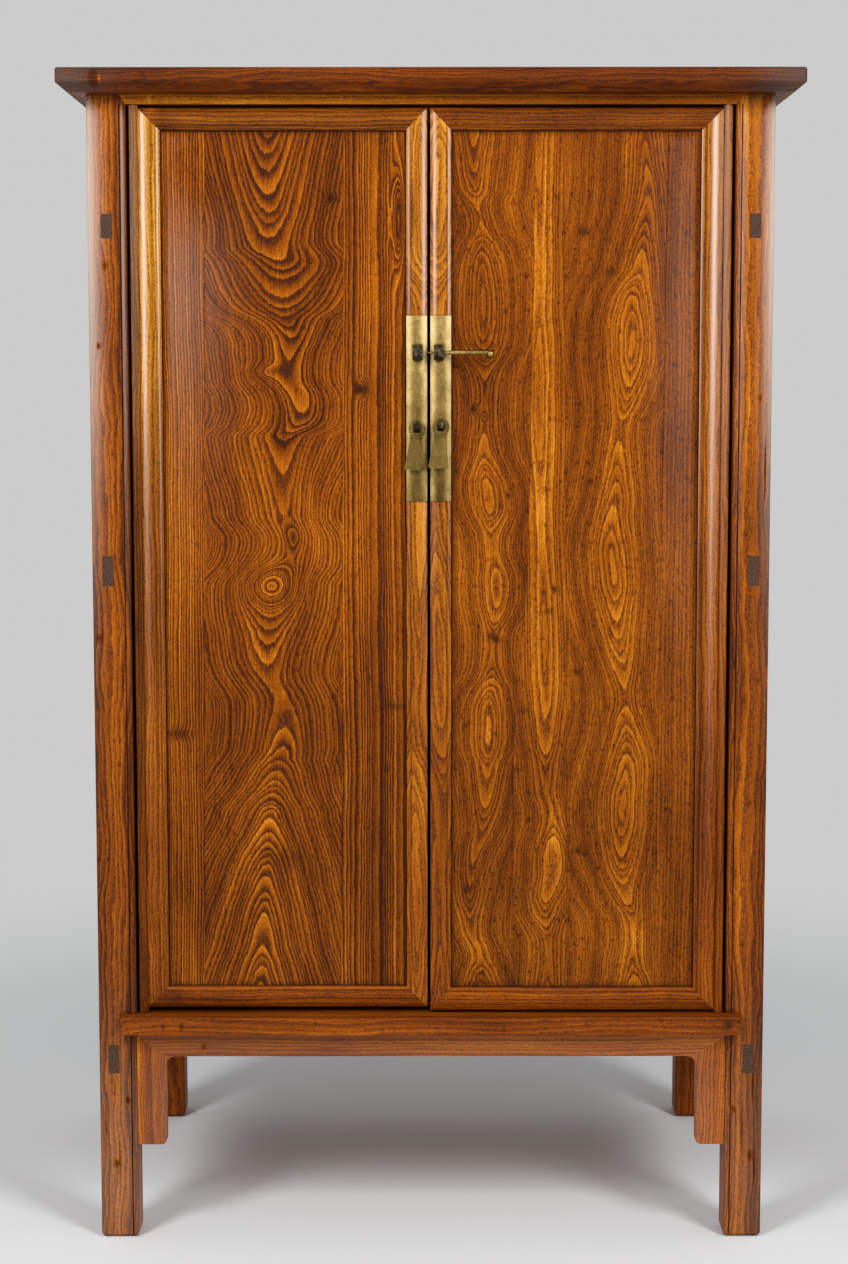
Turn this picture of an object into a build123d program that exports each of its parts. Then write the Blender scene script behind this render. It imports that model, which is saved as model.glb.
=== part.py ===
from build123d import *
import os

# Kang cabinet of elm with two pivot-hinged doors. Millimetres, +Z up, front towards -Y.
# Origin: on the floor, under the middle of the top.

os.makedirs("parts", exist_ok=True)

# ---------------------------------------------------------------- driving dimensions

HEIGHT = 960.0                  # floor to upper face of the top
POST_SPREAD_X = 551.6           # outer face to outer face of the posts, across the front
POST_SPREAD_Y = 364.0           # outer face to outer face of the posts, front to back
POST_WIDTH = 31.2               # front posts, across the front
BACK_POST_WIDTH = 37.0          # back posts, across the back
POST_DEPTH = 31.2               # all posts, front to back
POST_EDGE_RADIUS = 2.0          # worn long edges of the posts
FOOT_EDGE_RADIUS = 4.5          # worn edges under the feet
BEAD_WIDTH = 4.7                # bead along the inner edge of a front post
BEAD_GROOVE = 1.5               # width of the groove that sets the bead off
BEAD_GROOVE_DEPTH = 1.2

JOINT_GAP = 0.1                 # glue line round a tenon
PANEL_GAP = 0.2                 # play of a floating panel in its groove
PANEL_TONGUE = 6.0              # how far a floating panel enters its groove
STUB_TENON = 12.0               # length of a hidden tenon
SEAT_GAP = 0.3                  # a loose board lies this far from what it meets end on

TOP_OVERHANG_X = 21.2           # top beyond the posts, at the sides
TOP_OVERHANG_Y = 25.0           # top beyond the posts, front and back
TOP_THICKNESS = 18.4
TOP_BEVEL_IN = 8.3              # undercut bevel of the top's edge
TOP_BEVEL_DOWN = 7.0
TOP_ARRIS_RADIUS = 3.0
TOP_CORNER_RADIUS = 4.0         # worn corners of the top, seen in plan
TOP_NOSE_RADIUS = 1.6
TOP_FRAME_WIDTH = 62.0          # mitred members of the top
TOP_PANEL_THICKNESS = 9.0
TOP_PANEL_TONGUE_THICKNESS = 4.5
TOP_BATTEN_WIDTH = 26.0
TOP_BATTEN_OFFSET = 95.0        # each batten from the middle of the top
DOVETAIL_DEPTH = 2.0            # how deep a batten is let into a panel
DOVETAIL_FLARE = 1.0            # how much wider its hidden edge is, each side
POST_TENON = 12.0               # square tenon on the head of a post
POST_TENON_LENGTH = 12.0
SHOULDER_SHARE = 0.25           # each shoulder of a stub tenon, as a share of its rail's height

HEAD_RAIL_HEIGHT = 7.7          # front head rail, the strip seen above the doors
HEAD_STOP_DROP = 12.3           # the rebated part behind the doors hangs this much lower
HEAD_MITRE_DEPTH = 7.8          # its face is mitred into the posts this deep
SIDE_HEAD_RAIL_HEIGHT = 20.0    # side and back head rails
RAIL_THICKNESS = 20.0           # side and back rails
RAIL_SETBACK = 3.8              # side and back rails behind the outer faces of the posts

UPPER_RAIL_DROP = 90.6          # upper side rail below the heads of the posts
UPPER_RAIL_HEIGHT = 27.0
MIDDLE_RAIL_BOTTOM = 544.0
MIDDLE_RAIL_HEIGHT = 31.5
LOWER_RAIL_BOTTOM = 136.3
LOWER_RAIL_HEIGHT = 32.9
THROUGH_TENON_THICKNESS = 9.0
UPPER_TENON_HEIGHT = 19.3
MIDDLE_TENON_HEIGHT = 24.2
LOWER_TENON_HEIGHT = 24.1
UPPER_TENON_SHIFT = 1.5         # towards the middle of the cabinet, from the middle of the rail
MIDDLE_TENON_SHIFT = -1.0
LOWER_TENON_SHIFT = -1.7
SIDE_PANEL_THICKNESS = 8.0

BACK_MUNTIN_WIDTH = 30.0
BACK_MUNTIN_THICKNESS = 16.0
BACK_PANEL_THICKNESS = 8.0
BACK_BOTTOM_RAIL_HEIGHT = 36.6

SILL_TOP = 191.4
SILL_HEIGHT = 15.3
SILL_PROJECTION = 13.5          # in front of the faces of the posts
SILL_LAP = 12.6                 # over the face of each front post
SILL_EDGE_RADIUS = 2.0
SILL_CORNER_RADIUS = 4.0
SILL_LIP_HEIGHT = 12.0          # door stop at the back of the sill
SILL_TENON_HEIGHT = 9.0

APRON_HEIGHT = 21.3
APRON_MITRE_DROP = 4.3          # its mitres start this far below its upper edge, under the sill's nose
SIDE_APRON_HEIGHT = 17.0
SIDE_APRON_MITRE_DROP = 0.0
APRON_THICKNESS = 10.0
APRON_SETBACK = 1.5             # behind the faces of the posts
SPANDREL_WIDTH = 24.1
SPANDREL_BOTTOM = 79.5
SPANDREL_TOE_RADIUS = 5.0
APRON_CORNER_RADIUS = 8.0
SIDE_SPANDREL_BOTTOM = 62.0

BEARER_WIDTH = 12.0
SHELF_BEARER_HEIGHT = 12.0
SHELF_BEARER_INSET = 6.5        # top of the bearer below the top of the middle rail
SHELF_THICKNESS = 10.0
SHELF_FRONT_GAP = 26.0          # shelf behind the doors
BOTTOM_BEARER_HEIGHT = 21.3
BOTTOM_BATTEN_WIDTH = 30.0
BOTTOM_BATTEN_HEIGHT = 12.0
BOTTOM_THICKNESS = 10.0
BOARD_COUNT = 3                 # boards in the shelf, and in the bottom
BOARD_GAP = 0.4

DOOR_THICKNESS = 20.0
DOOR_SETBACK = 1.0              # door frame behind the faces of the posts
DOOR_SIDE_GAP = 2.6             # between a post and the pivot stile
DOOR_TOP_GAP = 2.9              # under the head rail
DOOR_STOP_GAP = 0.9             # behind the door
LEFT_DOOR_EDGE = -3.0           # free edge of the left door
RIGHT_DOOR_EDGE = -0.4          # free edge of the right door
LEFT_DOOR_BOTTOM_GAP = 5.4      # above the sill
RIGHT_DOOR_BOTTOM_GAP = 2.3
PIVOT_STRIP = 7.0               # round-nosed strip along the pivot stile
PIVOT_SHOULDER_GAP = 0.4        # the strip's ends to the sill and the head rail
PIVOT_PIN_RADIUS = 2.5
PIVOT_PIN_LENGTH = 5.5
PIVOT_PLAY = 0.3                # a pivot in its socket, on the radius
SOCKET_FLOOR = 0.4              # spare depth at the end of a socket
PIVOT_STILE_WIDTH = 17.5
MEETING_STILE_WIDTH = 16.8
DOOR_TOP_RAIL = 17.4
LEFT_DOOR_BOTTOM_RAIL = 17.0
RIGHT_DOOR_BOTTOM_RAIL = 18.8
STILE_CROWN = 2.6               # the rounded face of the door frame
STILE_BEAD = 3.4                # bead beside the panel
STILE_BEAD_GROOVE = 0.8         # radius of the groove that sets it off
DOOR_PANEL_RECESS = 5.0         # panel face behind the crown of the frame
DOOR_PANEL_THICKNESS = 7.0
DOOR_PANEL_TONGUE = 5.0         # thickness of the panel's tongue
DOOR_PANEL_MARGIN = 0.5         # between the raised face and the frame
DOOR_TENON_THICKNESS = 5.0
DOOR_TENON_HEIGHT = 9.0
DOOR_TENON_LENGTH = 10.0
DOOR_TENON_INSET = 1.0          # from the panel groove
DOOR_BATTEN_WIDTH = 24.0
DOOR_BATTEN_DEPTH = 6.5
DOOR_BATTEN_COUNT = 3

PLATE_DROP = 164.9              # face plate below the top of the door
PLATE_LENGTH = 149.7
PLATE_THICKNESS = 0.8
PLATE_GAP = 0.15                # under the plate

STAPLE_DROP = 29.5              # staple's middle below the top of the plate
LEFT_STAPLE_X = -10.5
RIGHT_STAPLE_X = 6.5
STAPLE_WIDTH = 7.8
STAPLE_HEIGHT = 12.0
STAPLE_EYE_DEPTH = 5.4
STAPLE_EYE_HEIGHT = 5.2
STAPLE_EYE_RADIUS = 0.8
STAPLE_STAND_OFF = 5.2          # middle of the eye in front of the plate
STAPLE_TAIL = 3.0
STAPLE_TAIL_LENGTH = 11.0

BOSS_RADIUS = 6.7
BOSS_HEIGHT = 1.6
BOSS_RIM = 0.5
LEFT_BOSS_TOP_DROP = 84.2       # top of the boss below the top of the plate
RIGHT_BOSS_TOP_DROP = 82.8
LEFT_PULL_X = -11.2
RIGHT_PULL_X = 8.1
PULL_STAPLE_DROP = 5.0          # middle of the pull's staple below the top of the boss
PULL_STAPLE_WIDTH = 4.6
PULL_STAPLE_RADIUS = 3.2
PULL_STAPLE_EYE = 1.9
PULL_STAPLE_STAND_OFF = 3.2     # middle of the eye in front of the boss
PULL_STAPLE_TAIL = 2.2
PULL_STAPLE_TAIL_LENGTH = 8.0
PULL_THICKNESS = 1.4
PULL_HEAD_RADIUS = 6.3
PULL_RIM = 1.4                  # half the bar of the pull that hangs in the staple
PULL_SLOT_WIDTH = 5.6
PULL_SLOT_HEIGHT = 3.6
PULL_COLLAR_DROP = 7.6          # top of the collar below the middle of the staple
PULL_COLLAR_HEIGHT = 1.5
PULL_COLLAR_WIDTH = 11.0
PULL_COLLAR_PROUD = 0.5
PULL_NECK_WIDTH = 9.6
PULL_FOOT_WIDTH = 16.2
PULL_LENGTH = 35.4              # middle of the staple to the ends of the scallops
PULL_SCALLOPS = 5
PULL_LEAN = 3.5                 # degrees, the way the pulls hang crooked

PIN_RADIUS = 2.1
PIN_TIP_RADIUS = 0.8
PIN_TAPER = 23.0                # length of the taper
PIN_LENGTH = 50.0               # tip to the middle of the ball
PIN_BALL_RADIUS = 3.35
PIN_BALL_DROP = 1.2             # the ball sits a little below the line of the pin
PIN_PLAY = 0.3                  # pin above the floor of the eye
PIN_CLEARANCE = 0.95            # withdrawn tip short of the left door

EDGE_TOLERANCE = 0.01           # for picking edges by their place

# ---------------------------------------------------------------- places worked out from them

POST_TOP = HEIGHT - TOP_THICKNESS
X_OUT = POST_SPREAD_X / 2
X_IN = X_OUT - POST_WIDTH
X_IN_BACK = X_OUT - BACK_POST_WIDTH
Y_OUT = POST_SPREAD_Y / 2
Y_IN = Y_OUT - POST_DEPTH
Y_FACE = -Y_OUT                 # front faces of the front posts
TOP_X = X_OUT + TOP_OVERHANG_X
TOP_Y = Y_OUT + TOP_OVERHANG_Y

RAIL_X = X_OUT - RAIL_SETBACK - RAIL_THICKNESS / 2     # middle of the side rails
RAIL_X_IN = RAIL_X - RAIL_THICKNESS / 2                # their inner faces
RAIL_Y = Y_OUT - RAIL_SETBACK - RAIL_THICKNESS / 2     # middle of the back rails
SIDE_HEAD_BOTTOM = POST_TOP - SIDE_HEAD_RAIL_HEIGHT
UPPER_RAIL_BOTTOM = POST_TOP - UPPER_RAIL_DROP - UPPER_RAIL_HEIGHT

SILL_BOTTOM = SILL_TOP - SILL_HEIGHT
Y_DOOR = Y_FACE + DOOR_SETBACK                         # crown of the door frames
Y_DOOR_BACK = Y_DOOR + DOOR_THICKNESS
Y_STOP = Y_DOOR_BACK + DOOR_STOP_GAP
HEAD_RAIL_BOTTOM = POST_TOP - HEAD_RAIL_HEIGHT
DOOR_TOP = HEAD_RAIL_BOTTOM - DOOR_TOP_GAP
PIVOT_X = X_IN - DOOR_SIDE_GAP - PIVOT_STRIP / 2
PIVOT_Y = Y_DOOR + PIVOT_STRIP / 2

PLATE_TOP = DOOR_TOP - PLATE_DROP
Y_PLATE = Y_DOOR - PLATE_GAP - PLATE_THICKNESS         # crown of the face plates
STAPLE_Z = PLATE_TOP - STAPLE_DROP
STAPLE_Y = Y_PLATE - STAPLE_STAND_OFF
PULL_Y = Y_PLATE - BOSS_HEIGHT - PULL_STAPLE_STAND_OFF


# ---------------------------------------------------------------- helpers

def block(x, y, z):
    """A box between the low and high value of each axis."""
    middle = Pos((x[0] + x[1]) / 2, (y[0] + y[1]) / 2, (z[0] + z[1]) / 2)
    return middle * Box(x[1] - x[0], y[1] - y[0], z[1] - z[0])


def grown_block(x, y, z, gap):
    """The same box, larger by a gap on every side: what is cut away for a tenon or a panel."""
    return block((x[0] - gap, x[1] + gap), (y[0] - gap, y[1] + gap), (z[0] - gap, z[1] + gap))


def prism_xy(points, z):
    """An outline in plan, carried from one height to another."""
    return Pos(0, 0, z[0]) * extrude(Polygon(*points, align=None), amount=z[1] - z[0], dir=(0, 0, 1))


def prism_xz(points, y):
    """An outline seen from the front, carried from one depth to another."""
    face = Plane.XZ * Polygon(*points, align=None)
    return Pos(0, y[0], 0) * extrude(face, amount=y[1] - y[0], dir=(0, 1, 0))


def prism_yz(points, x):
    """An outline seen from the side, carried from one width to another."""
    face = Plane.YZ * Polygon(*points, align=None)
    return Pos(x[0], 0, 0) * extrude(face, amount=x[1] - x[0], dir=(1, 0, 0))


def round_edges(solid, axis, radius, keep=lambda edge: True):
    """Round the edges along one axis that the test keeps."""
    edges = solid.edges().filter_by(axis).filter_by(keep)
    return fillet(edges, radius)


def other_side(solid):
    """The same piece on the other side of the cabinet."""
    return mirror(solid, about=Plane.YZ)


parts = {}


def both_sides(name, solid):
    """Keep a left-hand piece and its mirror image."""
    parts["left_" + name] = solid
    parts["right_" + name] = other_side(solid)


# ---------------------------------------------------------------- side rails and panels
# Everything at the sides is worked out for the left side and mirrored.

front_post_cuts = []
back_post_cuts = []


def side_rail(bottom, height, tenon_height, tenon_shift, through):
    """A rail between the left posts, with a tenon at each end, and the mortises it needs."""
    rail = block((-RAIL_X - RAIL_THICKNESS / 2, -RAIL_X_IN), (-Y_IN, Y_IN), (bottom, bottom + height))
    middle_x = -RAIL_X + tenon_shift
    middle_z = bottom + height / 2
    reach = Y_OUT if through else Y_IN + STUB_TENON
    tenon_x = (middle_x - THROUGH_TENON_THICKNESS / 2, middle_x + THROUGH_TENON_THICKNESS / 2)
    tenon_z = (middle_z - tenon_height / 2, middle_z + tenon_height / 2)
    front_post_cuts.append(grown_block(tenon_x, (-reach, -Y_IN), tenon_z, JOINT_GAP))
    back_post_cuts.append(grown_block(tenon_x, (Y_IN, reach), tenon_z, JOINT_GAP))
    return rail + block(tenon_x, (-reach, reach), tenon_z)


side_head_rail = side_rail(SIDE_HEAD_BOTTOM, SIDE_HEAD_RAIL_HEIGHT, STUB_TENON, 0, through=False)
upper_rail = side_rail(UPPER_RAIL_BOTTOM, UPPER_RAIL_HEIGHT, UPPER_TENON_HEIGHT,
                       UPPER_TENON_SHIFT, through=True)
middle_rail = side_rail(MIDDLE_RAIL_BOTTOM, MIDDLE_RAIL_HEIGHT, MIDDLE_TENON_HEIGHT,
                        MIDDLE_TENON_SHIFT, through=True)
lower_rail = side_rail(LOWER_RAIL_BOTTOM, LOWER_RAIL_HEIGHT, LOWER_TENON_HEIGHT,
                       LOWER_TENON_SHIFT, through=True)

# Three floating panels fill the side between the posts, from the head rail to the lower rail.
panel_x = (-RAIL_X - SIDE_PANEL_THICKNESS / 2, -RAIL_X + SIDE_PANEL_THICKNESS / 2)
panel_y = (-Y_IN - PANEL_TONGUE, Y_IN + PANEL_TONGUE)
panel_stages = [
    (UPPER_RAIL_BOTTOM + UPPER_RAIL_HEIGHT, SIDE_HEAD_BOTTOM),
    (MIDDLE_RAIL_BOTTOM + MIDDLE_RAIL_HEIGHT, UPPER_RAIL_BOTTOM),
    (LOWER_RAIL_BOTTOM + LOWER_RAIL_HEIGHT, MIDDLE_RAIL_BOTTOM),
]
side_panels = []
side_grooves = []
for low, high in panel_stages:
    panel_z = (low - PANEL_TONGUE, high + PANEL_TONGUE)
    side_panels.append(block(panel_x, panel_y, panel_z))
    side_grooves.append(grown_block(panel_x, panel_y, panel_z, PANEL_GAP))

both_sides("head_rail", side_head_rail - side_grooves[0])
both_sides("upper_rail", upper_rail - side_grooves[0] - side_grooves[1])
both_sides("middle_rail", middle_rail - side_grooves[1] - side_grooves[2])
both_sides("lower_rail", lower_rail - side_grooves[2])
both_sides("side_panels", Compound(children=side_panels))
front_post_cuts += side_grooves
back_post_cuts += side_grooves

# ---------------------------------------------------------------- front head rail and sill


def pivot_hole(low, high):
    """The sockets of both door pivots, between two heights."""
    bore = Pos(PIVOT_X, PIVOT_Y, (low + high) / 2) * Cylinder(PIVOT_PIN_RADIUS + PIVOT_PLAY, high - low)
    return bore + other_side(bore)


stub_y = (-Y_IN - STUB_TENON - DOOR_SETBACK, -Y_IN - DOOR_SETBACK)     # front tenons, inside the posts

head_rail = block((-X_IN, X_IN), (Y_FACE, -Y_IN), (HEAD_RAIL_BOTTOM, POST_TOP))
head_rail += block((-X_IN, X_IN), (Y_STOP, -Y_IN), (HEAD_RAIL_BOTTOM - HEAD_STOP_DROP, HEAD_RAIL_BOTTOM))
head_shoulder = HEAD_RAIL_HEIGHT * SHOULDER_SHARE
head_tenon_z = (HEAD_RAIL_BOTTOM + head_shoulder, POST_TOP - head_shoulder)
head_rail += block((-X_IN - STUB_TENON, X_IN + STUB_TENON), stub_y, head_tenon_z)
front_post_cuts.append(grown_block((-X_IN - STUB_TENON, -X_IN), stub_y, head_tenon_z, JOINT_GAP))

# The face of the head rail is mitred into the bead of each post.
mitre_y = (Y_FACE, Y_FACE + HEAD_MITRE_DEPTH)
head_mitre = prism_xz([(-X_IN, HEAD_RAIL_BOTTOM), (-X_IN, POST_TOP), (-X_IN - BEAD_WIDTH, POST_TOP)], mitre_y)
head_rail += head_mitre + other_side(head_mitre)
front_post_cuts.append(head_mitre)

socket_depth = PIVOT_PIN_LENGTH - PIVOT_SHOULDER_GAP + SOCKET_FLOOR
head_rail -= pivot_hole(HEAD_RAIL_BOTTOM - SOCKET_FLOOR, HEAD_RAIL_BOTTOM + socket_depth)
parts["front_head_rail"] = head_rail

sill_end = X_IN + SILL_LAP
sill_middle = (SILL_TOP + SILL_BOTTOM) / 2
sill_nose = block((-sill_end, sill_end), (Y_FACE - SILL_PROJECTION, Y_FACE), (SILL_BOTTOM, SILL_TOP))
sill_nose = round_edges(sill_nose, Axis.Z, SILL_CORNER_RADIUS,
                        lambda edge: edge.center().Y < Y_FACE - SILL_PROJECTION / 2)
sill_nose = fillet([edge for edge in sill_nose.edges()
                    if edge.center().Y < Y_FACE - SILL_PROJECTION + SILL_CORNER_RADIUS
                    and abs(edge.center().Z - sill_middle) > SILL_HEIGHT / 2 - EDGE_TOLERANCE],
                   SILL_EDGE_RADIUS)
sill = sill_nose + block((-X_IN, X_IN), (Y_FACE, -Y_IN), (SILL_BOTTOM, SILL_TOP))
sill += block((-X_IN, X_IN), (Y_STOP, -Y_IN), (SILL_TOP, SILL_TOP + SILL_LIP_HEIGHT))
sill_tenon_z = (sill_middle - SILL_TENON_HEIGHT / 2, sill_middle + SILL_TENON_HEIGHT / 2)
sill += block((-X_IN - STUB_TENON, X_IN + STUB_TENON), stub_y, sill_tenon_z)
front_post_cuts.append(grown_block((-X_IN - STUB_TENON, -X_IN), stub_y, sill_tenon_z, JOINT_GAP))
sill -= pivot_hole(SILL_TOP - socket_depth, SILL_TOP + SOCKET_FLOOR)
parts["sill"] = sill

# ---------------------------------------------------------------- back rails, muntin and panels

back_rail_y = (RAIL_Y - RAIL_THICKNESS / 2, RAIL_Y + RAIL_THICKNESS / 2)
back_tenon_y = (RAIL_Y - THROUGH_TENON_THICKNESS / 2, RAIL_Y + THROUGH_TENON_THICKNESS / 2)
back_bottom_z = (SILL_TOP - BACK_BOTTOM_RAIL_HEIGHT, SILL_TOP)
back_head_z = (SIDE_HEAD_BOTTOM, POST_TOP)


def back_rail(span_z):
    """A rail between the back posts, with a stub tenon at each end."""
    shoulder = (span_z[1] - span_z[0]) * SHOULDER_SHARE
    tenon_z = (span_z[0] + shoulder, span_z[1] - shoulder)
    tenon_x = (-X_IN_BACK - STUB_TENON, X_IN_BACK + STUB_TENON)
    back_post_cuts.append(grown_block((tenon_x[0], -X_IN_BACK), back_tenon_y, tenon_z, JOINT_GAP))
    return block((-X_IN_BACK, X_IN_BACK), back_rail_y, span_z) + block(tenon_x, back_tenon_y, tenon_z)


back_head_rail = back_rail(back_head_z)
back_bottom_rail = back_rail(back_bottom_z)

muntin_x = (-BACK_MUNTIN_WIDTH / 2, BACK_MUNTIN_WIDTH / 2)
muntin_y = (RAIL_Y - BACK_MUNTIN_THICKNESS / 2, RAIL_Y + BACK_MUNTIN_THICKNESS / 2)
muntin = block(muntin_x, muntin_y, (SILL_TOP, SIDE_HEAD_BOTTOM))
muntin_tenon_x = (muntin_x[0] + STUB_TENON / 2, muntin_x[1] - STUB_TENON / 2)
muntin_tenon_z = (SILL_TOP - STUB_TENON, SIDE_HEAD_BOTTOM + STUB_TENON)
muntin += block(muntin_tenon_x, back_tenon_y, muntin_tenon_z)
muntin_mortise = grown_block(muntin_tenon_x, back_tenon_y, muntin_tenon_z, JOINT_GAP)

back_panel_y = (RAIL_Y - BACK_PANEL_THICKNESS / 2, RAIL_Y + BACK_PANEL_THICKNESS / 2)
back_panel_x = (-X_IN_BACK - PANEL_TONGUE, -BACK_MUNTIN_WIDTH / 2 + PANEL_TONGUE)
back_panel_z = (SILL_TOP - PANEL_TONGUE, SIDE_HEAD_BOTTOM + PANEL_TONGUE)
back_panel = block(back_panel_x, back_panel_y, back_panel_z)
back_groove = grown_block(back_panel_x, back_panel_y, back_panel_z, PANEL_GAP)
back_grooves = back_groove + other_side(back_groove)
back_post_cuts.append(back_groove)

parts["back_head_rail"] = back_head_rail - muntin_mortise - back_grooves
parts["back_bottom_rail"] = back_bottom_rail - muntin_mortise - back_grooves
parts["back_muntin"] = muntin - back_grooves
parts["back_panels"] = Compound(children=[back_panel, other_side(back_panel)])

# ---------------------------------------------------------------- posts


def post(x, y, cuts):
    """A post from the floor to the top, worn round at the edges, with its mortises and grooves."""
    shaft = block(x, y, (0, POST_TOP))
    shaft = round_edges(shaft, Axis.Z, POST_EDGE_RADIUS)
    foot = [edge for edge in shaft.edges() if edge.center().Z < EDGE_TOLERANCE]
    shaft = fillet(foot, FOOT_EDGE_RADIUS)
    middle_x = -X_OUT + POST_WIDTH / 2
    middle_y = (y[0] + y[1]) / 2
    tenon_x = (middle_x - POST_TENON / 2, middle_x + POST_TENON / 2)
    tenon_y = (middle_y - POST_TENON / 2, middle_y + POST_TENON / 2)
    shaft += block(tenon_x, tenon_y, (POST_TOP, POST_TOP + POST_TENON_LENGTH))
    for cut in cuts:
        shaft -= cut
    return shaft


bead_x = -X_IN - BEAD_WIDTH
bead_groove = prism_xy([
    (bead_x - BEAD_GROOVE / 2, Y_FACE - JOINT_GAP),
    (bead_x + BEAD_GROOVE / 2, Y_FACE - JOINT_GAP),
    (bead_x, Y_FACE + BEAD_GROOVE_DEPTH),
], (0, HEAD_RAIL_BOTTOM))

front_post = post((-X_OUT, -X_IN), (-Y_OUT, -Y_IN), front_post_cuts + [bead_groove])
back_post = post((-X_OUT, -X_IN_BACK), (Y_IN, Y_OUT), back_post_cuts)
both_sides("front_post", front_post)
both_sides("back_post", back_post)

# ---------------------------------------------------------------- aprons and spandrels


def apron_set(half_span, top, height, mitre_drop, spandrel_bottom):
    """An apron and its two mitred spandrels, seen from the front, centred on X = 0.

    Returns the apron and the left spandrel, APRON_THICKNESS deep from Y = 0 towards +Y."""
    inner = half_span - SPANDREL_WIDTH
    apron_bottom = top - height
    outline = [
        (-half_span, top), (half_span, top), (half_span, spandrel_bottom), (inner, spandrel_bottom),
        (inner, apron_bottom), (-inner, apron_bottom), (-inner, spandrel_bottom),
        (-half_span, spandrel_bottom),
    ]
    depth = (0, APRON_THICKNESS)
    frame = prism_xz(outline, depth)
    corner = [e for e in frame.edges().filter_by(Axis.Y)
              if abs(abs(e.center().X) - inner) < EDGE_TOLERANCE
              and abs(e.center().Z - apron_bottom) < EDGE_TOLERANCE]
    frame = fillet(corner, APRON_CORNER_RADIUS)
    toe = [e for e in frame.edges().filter_by(Axis.Y)
           if abs(abs(e.center().X) - inner) < EDGE_TOLERANCE
           and abs(e.center().Z - spandrel_bottom) < EDGE_TOLERANCE]
    frame = fillet(toe, SPANDREL_TOE_RADIUS)
    # The mitre runs from the post through the inner corner, and as far again.
    start_z = top - mitre_drop
    far_x = -half_span + 2 * SPANDREL_WIDTH
    far_z = 2 * apron_bottom - start_z
    low_z = spandrel_bottom - height
    below_mitre = prism_xz([(-half_span, start_z), (far_x, far_z), (far_x, low_z), (-half_span, low_z)], depth)
    spandrel = frame & below_mitre
    apron = frame - below_mitre - other_side(below_mitre)
    return apron, spandrel


apron, spandrel = apron_set(X_IN, SILL_BOTTOM, APRON_HEIGHT, APRON_MITRE_DROP, SPANDREL_BOTTOM)
front_place = Pos(0, Y_FACE + APRON_SETBACK, 0)
parts["front_apron"] = front_place * apron
parts["front_spandrels"] = Compound(children=[front_place * spandrel, front_place * other_side(spandrel)])

apron, spandrel = apron_set(Y_IN, LOWER_RAIL_BOTTOM, SIDE_APRON_HEIGHT, SIDE_APRON_MITRE_DROP,
                            SIDE_SPANDREL_BOTTOM)
side_place = Pos(-RAIL_X - RAIL_THICKNESS / 2, 0, 0) * Rot(0, 0, -90)
both_sides("side_apron", side_place * apron)
both_sides("side_spandrels", Compound(children=[side_place * spandrel, side_place * other_side(spandrel)]))

# ---------------------------------------------------------------- shelf and bottom


def boards(x, y, z):
    """Boards side by side, from front to back."""
    pitch = (y[1] - y[0] + BOARD_GAP) / BOARD_COUNT
    strips = []
    for number in range(BOARD_COUNT):
        front = y[0] + number * pitch
        strips.append(block(x, (front, front + pitch - BOARD_GAP), z))
    return Compound(children=strips)


board_x = (-RAIL_X_IN + SEAT_GAP, RAIL_X_IN - SEAT_GAP)
bearer_x = (-RAIL_X_IN, -RAIL_X_IN + BEARER_WIDTH)

shelf_z = MIDDLE_RAIL_BOTTOM + MIDDLE_RAIL_HEIGHT - SHELF_BEARER_INSET
shelf_bearer = block(bearer_x, (-Y_IN, Y_IN), (shelf_z - SHELF_BEARER_HEIGHT, shelf_z))
parts["shelf_bearers"] = Compound(children=[shelf_bearer, other_side(shelf_bearer)])
shelf_y = (Y_DOOR_BACK + SHELF_FRONT_GAP, Y_IN - SEAT_GAP)
parts["shelf_boards"] = boards(board_x, shelf_y, (shelf_z, shelf_z + SHELF_THICKNESS))

bottom_z = SILL_TOP - BOTTOM_THICKNESS
bottom_bearer = block(bearer_x, (-Y_IN, Y_IN), (bottom_z - BOTTOM_BEARER_HEIGHT, bottom_z))
bottom_batten = block((-BOTTOM_BATTEN_WIDTH / 2, BOTTOM_BATTEN_WIDTH / 2), (-Y_IN, back_rail_y[0]),
                      (bottom_z - BOTTOM_BATTEN_HEIGHT, bottom_z))
parts["bottom_bearers"] = Compound(children=[bottom_bearer, other_side(bottom_bearer)])
parts["bottom_batten"] = bottom_batten
bottom_y = (-Y_IN + SEAT_GAP, Y_IN - SEAT_GAP)
parts["bottom_boards"] = boards(board_x, bottom_y, (bottom_z, SILL_TOP))

# ---------------------------------------------------------------- top

post_head_x = X_OUT - POST_WIDTH / 2
post_head_y = Y_OUT - POST_DEPTH / 2
post_heads = []
for side in (-1, 1):
    for end in (-1, 1):
        x = (side * post_head_x - POST_TENON / 2, side * post_head_x + POST_TENON / 2)
        y = (end * post_head_y - POST_TENON / 2, end * post_head_y + POST_TENON / 2)
        post_heads.append(grown_block(x, y, (POST_TOP, POST_TOP + POST_TENON_LENGTH), JOINT_GAP))


def top_member(half_length, outer):
    """A mitred member of the top, running along X, its moulded edge at Y = -outer."""
    inner = outer - TOP_FRAME_WIDTH
    section = [(-outer, HEIGHT), (-inner, HEIGHT), (-inner, POST_TOP), (-outer + TOP_BEVEL_IN, POST_TOP),
               (-outer, POST_TOP + TOP_BEVEL_DOWN)]
    bar = prism_yz(section, (-half_length, half_length))
    bar = round_edges(bar, Axis.X, TOP_ARRIS_RADIUS,
                      lambda e: abs(e.center().Y + outer) < EDGE_TOLERANCE
                      and e.center().Z > HEIGHT - EDGE_TOLERANCE)
    bar = round_edges(bar, Axis.X, TOP_NOSE_RADIUS,
                      lambda e: abs(e.center().Y + outer) < EDGE_TOLERANCE
                      and abs(e.center().Z - POST_TOP - TOP_BEVEL_DOWN) < EDGE_TOLERANCE)
    short = half_length - TOP_FRAME_WIDTH
    plan = [(-half_length, -outer), (half_length, -outer), (short, -inner), (-short, -inner)]
    return bar & prism_xy(plan, (POST_TOP, HEIGHT))


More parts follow.
